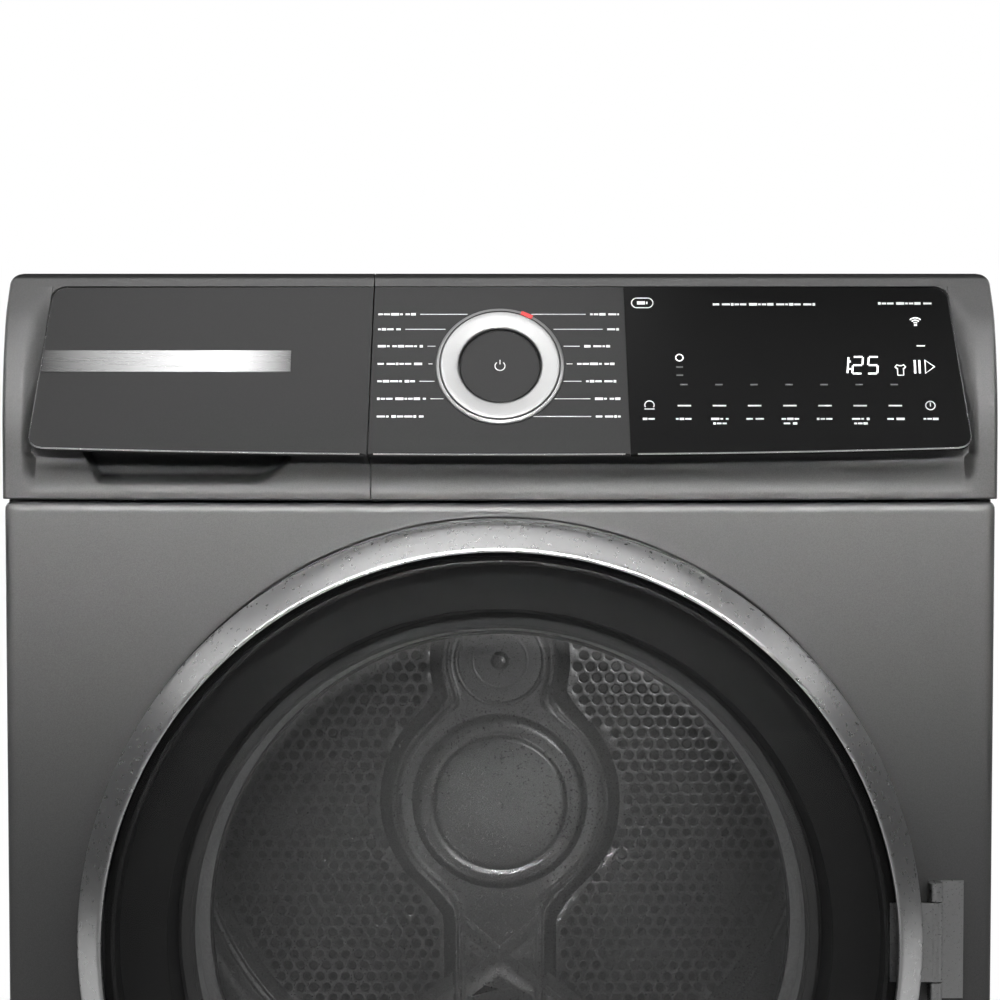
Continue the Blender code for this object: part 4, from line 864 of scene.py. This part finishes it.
SHEET = 0.0012
EDGE_STEPS = (                              # inwards and back, round the rolled edge
    (SHEET, 0.004), (SHEET, 0.022), (0.0, 0.022), (0.0, 0.0045), (0.0004, 0.0022), (0.0012, 0.0011),
    (0.0024, 0.0004), (0.0042, 0.0), (0.0060, 0.0))
DISH_STEPS = (                              # outwards and back, down the wall of the shallow dish
    (0.0030, 0.0), (0.0010, 0.0), (0.0004, 0.0002), (0.0, 0.0008), (0.0, RECESS_DEPTH - 0.0006),
    (-0.0006, RECESS_DEPTH), (-0.0020, RECESS_DEPTH))


def build_front_panel():
    """Steel panel with rolled edges, and a shallow dish round the door down to the drum's port."""
    x0, x1, z0, z1 = -BODY_HALF, BODY_HALF, PLINTH_TOP + SEAM, SEAM_Z - SEAM
    corners = [math.atan2(z - RECESS_Z, x) for x in (x0, x1) for z in (z0, z1)]
    angles = around(384)
    angles += [(a + extra) % (2 * math.pi) for a in corners for extra in (-0.006, -0.003, 0.0, 0.003, 0.006)]
    directions = [(math.cos(a), math.sin(a)) for a in sorted(set(angles))]
    centre = (0.0, RECESS_Z)
    bm = bmesh.new()
    rings = []
    for edge, depth in EDGE_STEPS:
        points = rounded_rectangle(x0 + edge, x1 - edge, z0 + edge, z1 - edge, 0.004, directions, centre)
        rings.append([bm.verts.new((x, FRONT_Y + depth, sagged(x, z))) for x, z in points])
    for base, level, z, steps in (
            (RECESS_R, 0.0, RECESS_Z, DISH_STEPS),
            (PORT_R, RECESS_DEPTH, DOOR_Z, ((SHEET, 0.0), (0.0003, 0.0003), (0.0, SHEET), (SHEET, SHEET))),
            (RECESS_R, SHEET, RECESS_Z, ((SHEET, RECESS_DEPTH), (SHEET, 0.0)))):
        for out, depth in steps:
            radius, y = base + out, FRONT_Y + (level + depth)
            rings.append([bm.verts.new((dx * radius, y, z + dz * radius)) for dx, dz in directions])
    loft(bm, rings + [rings[0]])
    panel = mesh_from(bm, "front_panel_pressed", ["graphite_paint"], "cabinet")
    slot = ((-0.2335, FRONT_Y - 0.02, DOOR_Z - 0.013), (-0.2195, FRONT_Y + 0.02, DOOR_Z + 0.013))
    cut_boxes(panel, [slot])
    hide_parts("front_panel")


# ------------ door
def side_gap(x0, x1, ahead, half):
    """Box to cut out of one side of the door, at the height of its middle."""
    return (x0, forward(ahead), DOOR_Z - half), (x1, forward(-0.01), DOOR_Z + half)


RING_PROFILE = rounded([
    (RING_R, 0.0045), (RING_R, 0.0198), (0.2530, 0.0213), (0.2410, 0.0360), (0.2399, 0.0370),
    (0.2379, 0.0370), (0.2379, 0.0305), (0.2392, 0.0305), (0.2508, 0.0180), (0.2512, 0.0165),
    (0.2512, 0.0045)], 0.0009)
FRAME_PROFILE = rounded([
    (0.2505, 0.0045), (0.2505, 0.0075), (0.2330, 0.0075), (0.2330, 0.0300), (0.2300, 0.0300),
    (0.2300, 0.0075), (0.2010, 0.0075), (0.1970, -0.0185), (0.1890, -0.0185), (0.1890, -0.0215),
    (0.2005, -0.0215), (0.2045, 0.0045)], 0.0008, 3)
BOWL_PROFILE = (
    (0.0, -0.0960), (0.060, -0.0942), (0.110, -0.0885), (0.136, -0.0805), (0.152, -0.0700), (0.162, -0.0570),
    (0.170, -0.0420), (0.1738, -0.0270), (0.1760, -0.0162), (0.1772, -0.0148), (0.1940, -0.0145),
    (0.1945, -0.0150), (0.1945, -0.0176), (0.1940, -0.0180), (0.1830, -0.0182), (0.1812, -0.0200),
    (0.1740, -0.0440), (0.1660, -0.0600), (0.1554, -0.0728), (0.1380, -0.0838), (0.1115, -0.0926),
    (0.060, -0.0985), (0.0, -0.1003))
SEAL_PROFILE = rounded([(0.1865, -0.0220), (0.1980, -0.0220), (0.1965, -0.0280), (0.1880, -0.0280)], 0.0014)


def build_door():
    centre, hinge_half = (0.0, FRONT_Y, DOOR_Z), HINGE_HALF + 0.003
    ring = lathe("door_ring_fine", RING_PROFILE, centre, ["silver"], "door", steps=256)
    cut_boxes(ring, [side_gap(-0.27, -0.24, 0.0160, 0.050), side_gap(0.240, 0.27, 0.0170, hinge_half)])
    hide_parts("door_ring")

    count = 24
    dome = [(GLASS_R * k / count, 0.0355 + 0.0065 * (1 - (k / count) ** 2)) for k in range(count + 1)]
    under = [(r, f - 0.004) for r, f in reversed(dome)]
    glass = lathe("door_glass_fine", dome + under, centre, ["dark_glass"], "door", closed=False)
    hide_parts("door_glass")

    inner = lathe("door_inner_frame_fine", FRAME_PROFILE, centre, ["black_plastic"], "door")
    cut_boxes(inner, [side_gap(-0.27, -0.2388, 0.03, 0.0515), side_gap(0.2438, 0.27, 0.020, hinge_half)])
    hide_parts("door_inner_frame")

    bowl = lathe("door_bowl_fine", BOWL_PROFILE, centre, ["clear_glass"], "door", closed=False)
    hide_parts("door_bowl")
    seal = lathe("door_seal_fine", SEAL_PROFILE, centre, ["rubber"], "door", steps=160)
    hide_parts("door_seal")


def build_port_lip():
    """Moulded lip inside the drum's port, seen round the door's bowl; its black edge bead is painted shade.
    """
    # painted shade: faces inside this radius take the black plastic, for the bowl's dark shoulder
    def shade(radius, height):
        return 1 if radius < 0.1805 else 0

    profile = rounded([
        (0.1784, -0.0580), (0.1800, -0.0575), (0.1806, -0.0590), (0.2100, -0.0560), (0.2100, -0.0600),
        (0.1800, -0.0612), (0.1784, -0.0608)], 0.0006, 3)
    lathe("port_lip", profile, (0.0, FRONT_Y, DOOR_Z + 0.001), ["grey_plastic", "black_plastic"], "cabinet",
          face_mat=shade)


# ------------ drum
def build_drum():
    front, back = FRONT_Y - DRUM_FRONT_Y, FRONT_Y - DRUM_BACK_Y
    wall, lip, edge = DRUM_WALL, 0.250, front - 0.0006
    profile = rounded([
        (lip, edge), (DRUM_R - 0.012, edge), (DRUM_R, front - 0.014), (DRUM_R, back), (DRUM_R - wall, back),
        (DRUM_R - wall, front - 0.0145), (DRUM_R - 0.0126, edge - wall), (lip, edge - wall)], 0.0005, 2)
    shell = lathe("drum_shell_fine", profile, (0.0, FRONT_Y, DRUM_Z), ["steel"], "drum")
    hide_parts("drum_shell")
    build_drum_rear()


BOSS_Z, BOSS_R = 0.106, 0.034
HUB_R = 0.066
DISH_DEPTH = 0.006
HUB = ((HUB_R, -0.001), (HUB_R, 0.0030), (HUB_R - 0.006, 0.0072), (HUB_R - 0.012, 0.0075),
       (HUB_R - 0.015, 0.0060), (HUB_R - 0.018, 0.0088), (0.020, 0.0096), (0.0001, 0.0096), (0.0001, -0.001))
BOSS = ((BOSS_R + 0.001, -0.001), (BOSS_R, 0.0022), (BOSS_R - 0.0022, 0.0022), (BOSS_R - 0.004, -0.0016),
        (BOSS_R - 0.011, -0.0030), (BOSS_R - 0.0125, 0.0008), (BOSS_R - 0.0145, 0.0008),
        (BOSS_R - 0.018, -0.0030), (0.0075, -0.0010), (0.0055, 0.0050), (0.0001, 0.0066),
        (0.0001, -0.0060), (BOSS_R + 0.001, -0.0060))          # radius, and rise off the wall's level
RIDGES = ((-0.0012, 0.0022), (-0.0058, 0.0016))          # place and height of a perforated zone's beads
LEVELS = (-0.0120, -0.0095, -0.0082, -0.0074, -0.0067, -0.0062, -0.0058, -0.0054, -0.0049, -0.0042, -0.0034,
          -0.0027, -0.0021, -0.0016, -0.0012, -0.0008, -0.0003, 0.0004, 0.0014, 0.0030, 0.0050, 0.0080)


def bean_distance(x, z):
    """Rounded distance inside a perforated zone of the rear wall, for either side of the drum."""
    side = abs(x)
    limits = (0.226 - math.hypot(side, z), math.hypot(side, z) - (HUB_R + 0.016),
              math.hypot(side, z - BOSS_Z) - (BOSS_R + 0.010), side - 0.034)
    return -0.005 * math.log(sum(math.exp(-limit / 0.005) for limit in limits))


def bead_height(distance):
    """Height of the pressed wall above its flat level, by distance inside a perforated zone."""
    beads = sum(rise * math.exp(-((distance - place) / 0.0014) ** 2) for place, rise in RIDGES)
    return beads - DISH_DEPTH * smooth(distance, 0.0004, 0.0080)


def bean_loop(side, distance):
    """Points of the curve at this distance inside one perforated zone."""
    points = []
    for turn in around(168):
        dx, dz = math.cos(turn) * side, math.sin(turn)
        near, far = 0.0, 0.30
        for _ in range(26):
            middle = (near + far) / 2
            if bean_distance(side * 0.145 + dx * middle, dz * middle) > distance:
                near = middle
            else:
                far = middle
        points.append((side * 0.145 + dx * near, dz * near))
    return points


def spoke(x, z, radius, degrees):
    """End of a line from (x, z), of this length and direction."""
    turn = math.radians(degrees)
    return x + radius * math.cos(turn), z + radius * math.sin(turn)


def perforated_sheet(bm, level):
    """Sheet with dimpled round holes on a hexagonal pitch, over both zones, just under the beads."""
    pitch, hole_r = 0.0097, 0.0036
    verts = {}

    def vertex(x, z, drop=0.0):
        key = (round(x, 6), round(z, 6), drop)
        if key not in verts:
            verts[key] = bm.verts.new((x, forward(level - DISH_DEPTH - 0.0003 - drop), DRUM_Z + z))
        return verts[key]

    rows = int(0.24 / (pitch * 0.866))
    for row in range(-rows, rows + 1):
        for column in range(-26, 27):
            x, z = pitch * (column + 0.5 * (row % 2)), pitch * 0.8660254 * row
            inside = bean_distance(x, z)
            if inside < 0.004:
                continue
            outer = []
            reach = pitch / math.sqrt(3)
            for k in range(6):
                (ax, az), (bx, bz) = spoke(x, z, reach, 30 + 60 * k), spoke(x, z, reach, 90 + 60 * k)
                outer += [vertex(ax, az), vertex((ax + bx) / 2, (az + bz) / 2)]
            if inside < 0.0115:
                quad(bm, *outer)
                continue
            rings = [outer]
            for share, drop in ((1.12, 0.0002), (1.0, 0.0009), (0.92, 0.0020)):
                rings.append([vertex(*spoke(x, z, hole_r * share, 30 + 30 * k), drop) for k in range(12)])
            loft(bm, rings)


def build_drum_rear():
    """Pressed rear wall: beads round two bean-shaped zones with real holes, hub, shaft and lamp boss."""
    level = FRONT_Y - DRUM_BACK_Y + 0.0095
    limit = DRUM_R - DRUM_WALL - 0.0010
    bm = bmesh.new()

    def ring(points, height):
        return [bm.verts.new((x, forward(level + height), DRUM_Z + z)) for x, z in points]

    borders = []
    for side in (-1, 1):
        loops = [ring(bean_loop(side, distance), bead_height(distance)) for distance in LEVELS]
        loft(bm, loops)
        borders.append(loops[0])
    rims = [ring([(r * math.cos(t), r * math.sin(t)) for t in around(192)], -0.0080 * smooth(r, 0.240, 0.264))
            for r in (0.2400, 0.2430, 0.2465, 0.2500, 0.2535, 0.2570, 0.2605, 0.2640, 0.2740, limit)]
    loft(bm, rims)
    borders.append(rims[0])
    fill_flat(bm, borders)
    perforated_sheet(bm, level)
    wall = mesh_from(bm, "drum_rear_wall_pressed", ["steel"], "drum", smooth_deg=40)
    mod = wall.modifiers.new("sheet", "SOLIDIFY")
    mod.thickness, mod.offset = 0.0008, 0.0
    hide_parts("drum_rear_wall")
    axis = (0.0, FRONT_Y, DRUM_Z)
    hub, boss = ([(radius, level + rise) for radius, rise in profile] for profile in (HUB, BOSS))
    lathe("drum_hub_cap", rounded(hub, 0.0020), axis, ["steel"], "drum", steps=128)
    stub = [(0.0, level - 0.004), (SHAFT_R, level - 0.004), (SHAFT_R, -0.560), (0.0, -0.560)]
    lathe("drum_stub_shaft", stub, axis, ["steel"], "drum", steps=64, closed=False)
    boss_axis = (0.0, FRONT_Y, DRUM_Z + BOSS_Z)
    lathe("drum_air_boss", rounded(boss, 0.0016), boss_axis, ["steel"], "drum", steps=96)


def quad(bm, *verts):
    """Face through these corners, unless they have run together at the rim."""
    unique = list(dict.fromkeys(verts))
    if len(unique) > 2 and len({tuple(round(c, 6) for c in v.co) for v in unique}) == len(unique):
        if not bm.faces.get(unique):
            bm.faces.new(unique)


def build_duct_baffle():
    """Sheet disc between the drum and the slots of the rear cover, so no daylight shows through the holes."""
    profile = rounded([
        (0.030, -0.0006), (0.030, 0.0006), (0.155, 0.0006), (0.158, -0.003), (0.157, -0.0036),
        (0.154, -0.0006)], 0.0002, 2)
    lathe("duct_baffle", profile, Vector((0.0, 0.300, DRUM_Z)), ["galvanised"], "cabinet", steps=96)


# ------------ carried-over CAD nodes
def dress_cad_nodes():
    slots = {entry["node"]: entry["material_slot"] for entry in frame["record"]["subparts"]}
    for name, obj in frame["nodes"].items():
        mat = MATS[slots[name]]
        if not obj.material_slots:
            obj.data.materials.append(mat)
        for entry in obj.material_slots:
            entry.material = mat


# ------------ studio
FLOOR_HALF = 8.0
FLOOR_NEAR, FLOOR_FAR = 0.4, 1.6                # the floor turns white between these distances


def white_to_camera(tree, surface, white, strength, output):
    """Shows the white shader to camera rays by this strength, and the surface to all other rays."""
    seen = add_node(tree, "LightPath").outputs["Is Camera Ray"]
    if strength:
        seen = add_node(tree, "Math", strength, seen, operation="MULTIPLY").outputs[0]
    mix = add_node(tree, "MixShader", seen, surface.outputs[0], white.outputs[0])
    tree.links.new(mix.outputs[0], tree.nodes[output].inputs["Surface"])


def fade_to_white(mat, near, far):
    """The floor shows its shadows near the machine and turns white further out, as studio paper does."""
    tree = mat.node_tree
    coords = add_node(tree, "TexCoord")
    length = add_node(tree, "VectorMath", coords.outputs["Object"], operation="LENGTH")
    strength = map_range(tree, length.outputs["Value"], near, far, 0.7, 1.0, smoothed=True)
    white = add_node(tree, "Emission")
    white_to_camera(tree, tree.nodes["Principled BSDF"], white, strength, "Material Output")


def build_floor():
    bm = bmesh.new()
    bmesh.ops.create_grid(bm, x_segments=1, y_segments=1, size=FLOOR_HALF)
    floor = link_object("studio_floor", to_mesh(bm, "studio_floor"))
    mat = new_material("studio_floor", grey(0.9), 0.6)
    add_roughness(mat, object_noise(mat, 6.0), 0.55, 0.65)
    fade_to_white(mat, FLOOR_NEAR, FLOOR_FAR)
    floor.data.materials.append(mat)


def area_light(name, location, target, width, depth, energy, spread=180):
    data = bpy.data.lights.new(name, "AREA")
    data.shape, data.size, data.size_y = "RECTANGLE", width, depth
    data.energy, data.spread = energy, math.radians(spread)
    obj = link_object(name, data)
    obj.location = location
    obj.rotation_euler = (Vector(target) - Vector(location)).to_track_quat("-Z", "Y").to_euler()
    obj.visible_camera = False


def white_surround():
    """White behind the machine, and only a faint fill from it on the machine itself."""
    world = bpy.data.worlds.new("studio_world")
    bpy.context.scene.world = world
    world.use_nodes = True
    tree = world.node_tree
    fill, white = tree.nodes["Background"], add_node(tree, "Background")
    for shader in (fill, white):
        shader.inputs["Color"].default_value = (1.0, 1.0, 1.0, 1.0)
    fill.inputs["Strength"].default_value = FILL
    white_to_camera(tree, fill, white, None, "World Output")


FILL = 0.03
LIGHTS = (                          # place, aim, width, depth, watts, spread in degrees
    ("overhead", (0.0, 0.25, 2.3), (0.0, -0.2, 0.6), 2.6, 0.8, 8.8, 180),
    ("left_side", (-1.55, 0.05, 1.85), (0.0, -0.3, 0.60), 1.0, 0.8, 2.2, 180),
    ("right_side", (1.55, 0.05, 1.85), (0.0, -0.3, 0.60), 1.0, 0.8, 2.0, 180),
    ("front_grid", (0.0, -2.0, 1.2), (0.0, -0.284, 0.705), 1.3, 0.15, 0.8, 14),
    ("front", (0.0, -2.7, 1.15), (0.0, -0.3, 0.70), 1.6, 0.4, 0.6, 180),
    ("over_front", (0.0, -0.60, 1.15), (0.0, -0.29, 0.70), 1.3, 0.2, 1.3, 180),
    ("near_top", (-0.13, -0.52, 1.30), (-0.1, -0.26, 0.80), 0.5, 0.15, 1.2, 180),
    ("panel_strip", (0.0, -1.4, 1.5), (0.0, -0.284, 0.84), 1.0, 0.2, 0.8, 40),
    ("left_corner", (-1.1, -1.5, 1.85), (-0.2, -0.3, 0.75), 0.5, 0.4, 5.0, 180),
    ("right_corner", (1.1, -1.5, 1.85), (0.2, -0.3, 0.75), 0.5, 0.4, 6.5, 180),
    ("back_left", (-2.4, 2.0, 1.5), (0.0, 0.1, 0.45), 1.2, 1.2, 45.0, 180),
    ("back_right", (2.4, 2.0, 1.5), (0.0, 0.1, 0.45), 1.2, 1.2, 45.0, 180),
)


def build_studio():
    bpy.context.scene.view_settings.view_transform = "Standard"
    white_surround()
    for light in LIGHTS:
        area_light(*light)
    lamp = bpy.data.lights.new("drum_light", "POINT")
    lamp.energy, lamp.shadow_soft_size = 0.22, 0.02
    link_object("drum_light", lamp).location = (0.15, -0.16, 0.58)


def build_camera():
    camera = bpy.data.cameras.new("camera")
    camera.lens, camera.sensor_width = 126.1, 36.0
    camera.clip_start, camera.clip_end = 0.05, 60.0
    obj = link_object("camera", camera)
    obj.location = (0.0, FRONT_Y - 2.1, 0.850)
    obj.rotation_euler = (math.radians(90 - 3.909), 0.0, 0.0)
    bpy.context.scene.camera = obj


build_camera()
dress_cad_nodes()
build_control_panel()
programme_labels()
display_marks()
build_knob()
build_front_panel()
build_door()
build_port_lip()
build_drum()
build_duct_baffle()
build_floor()
build_studio()
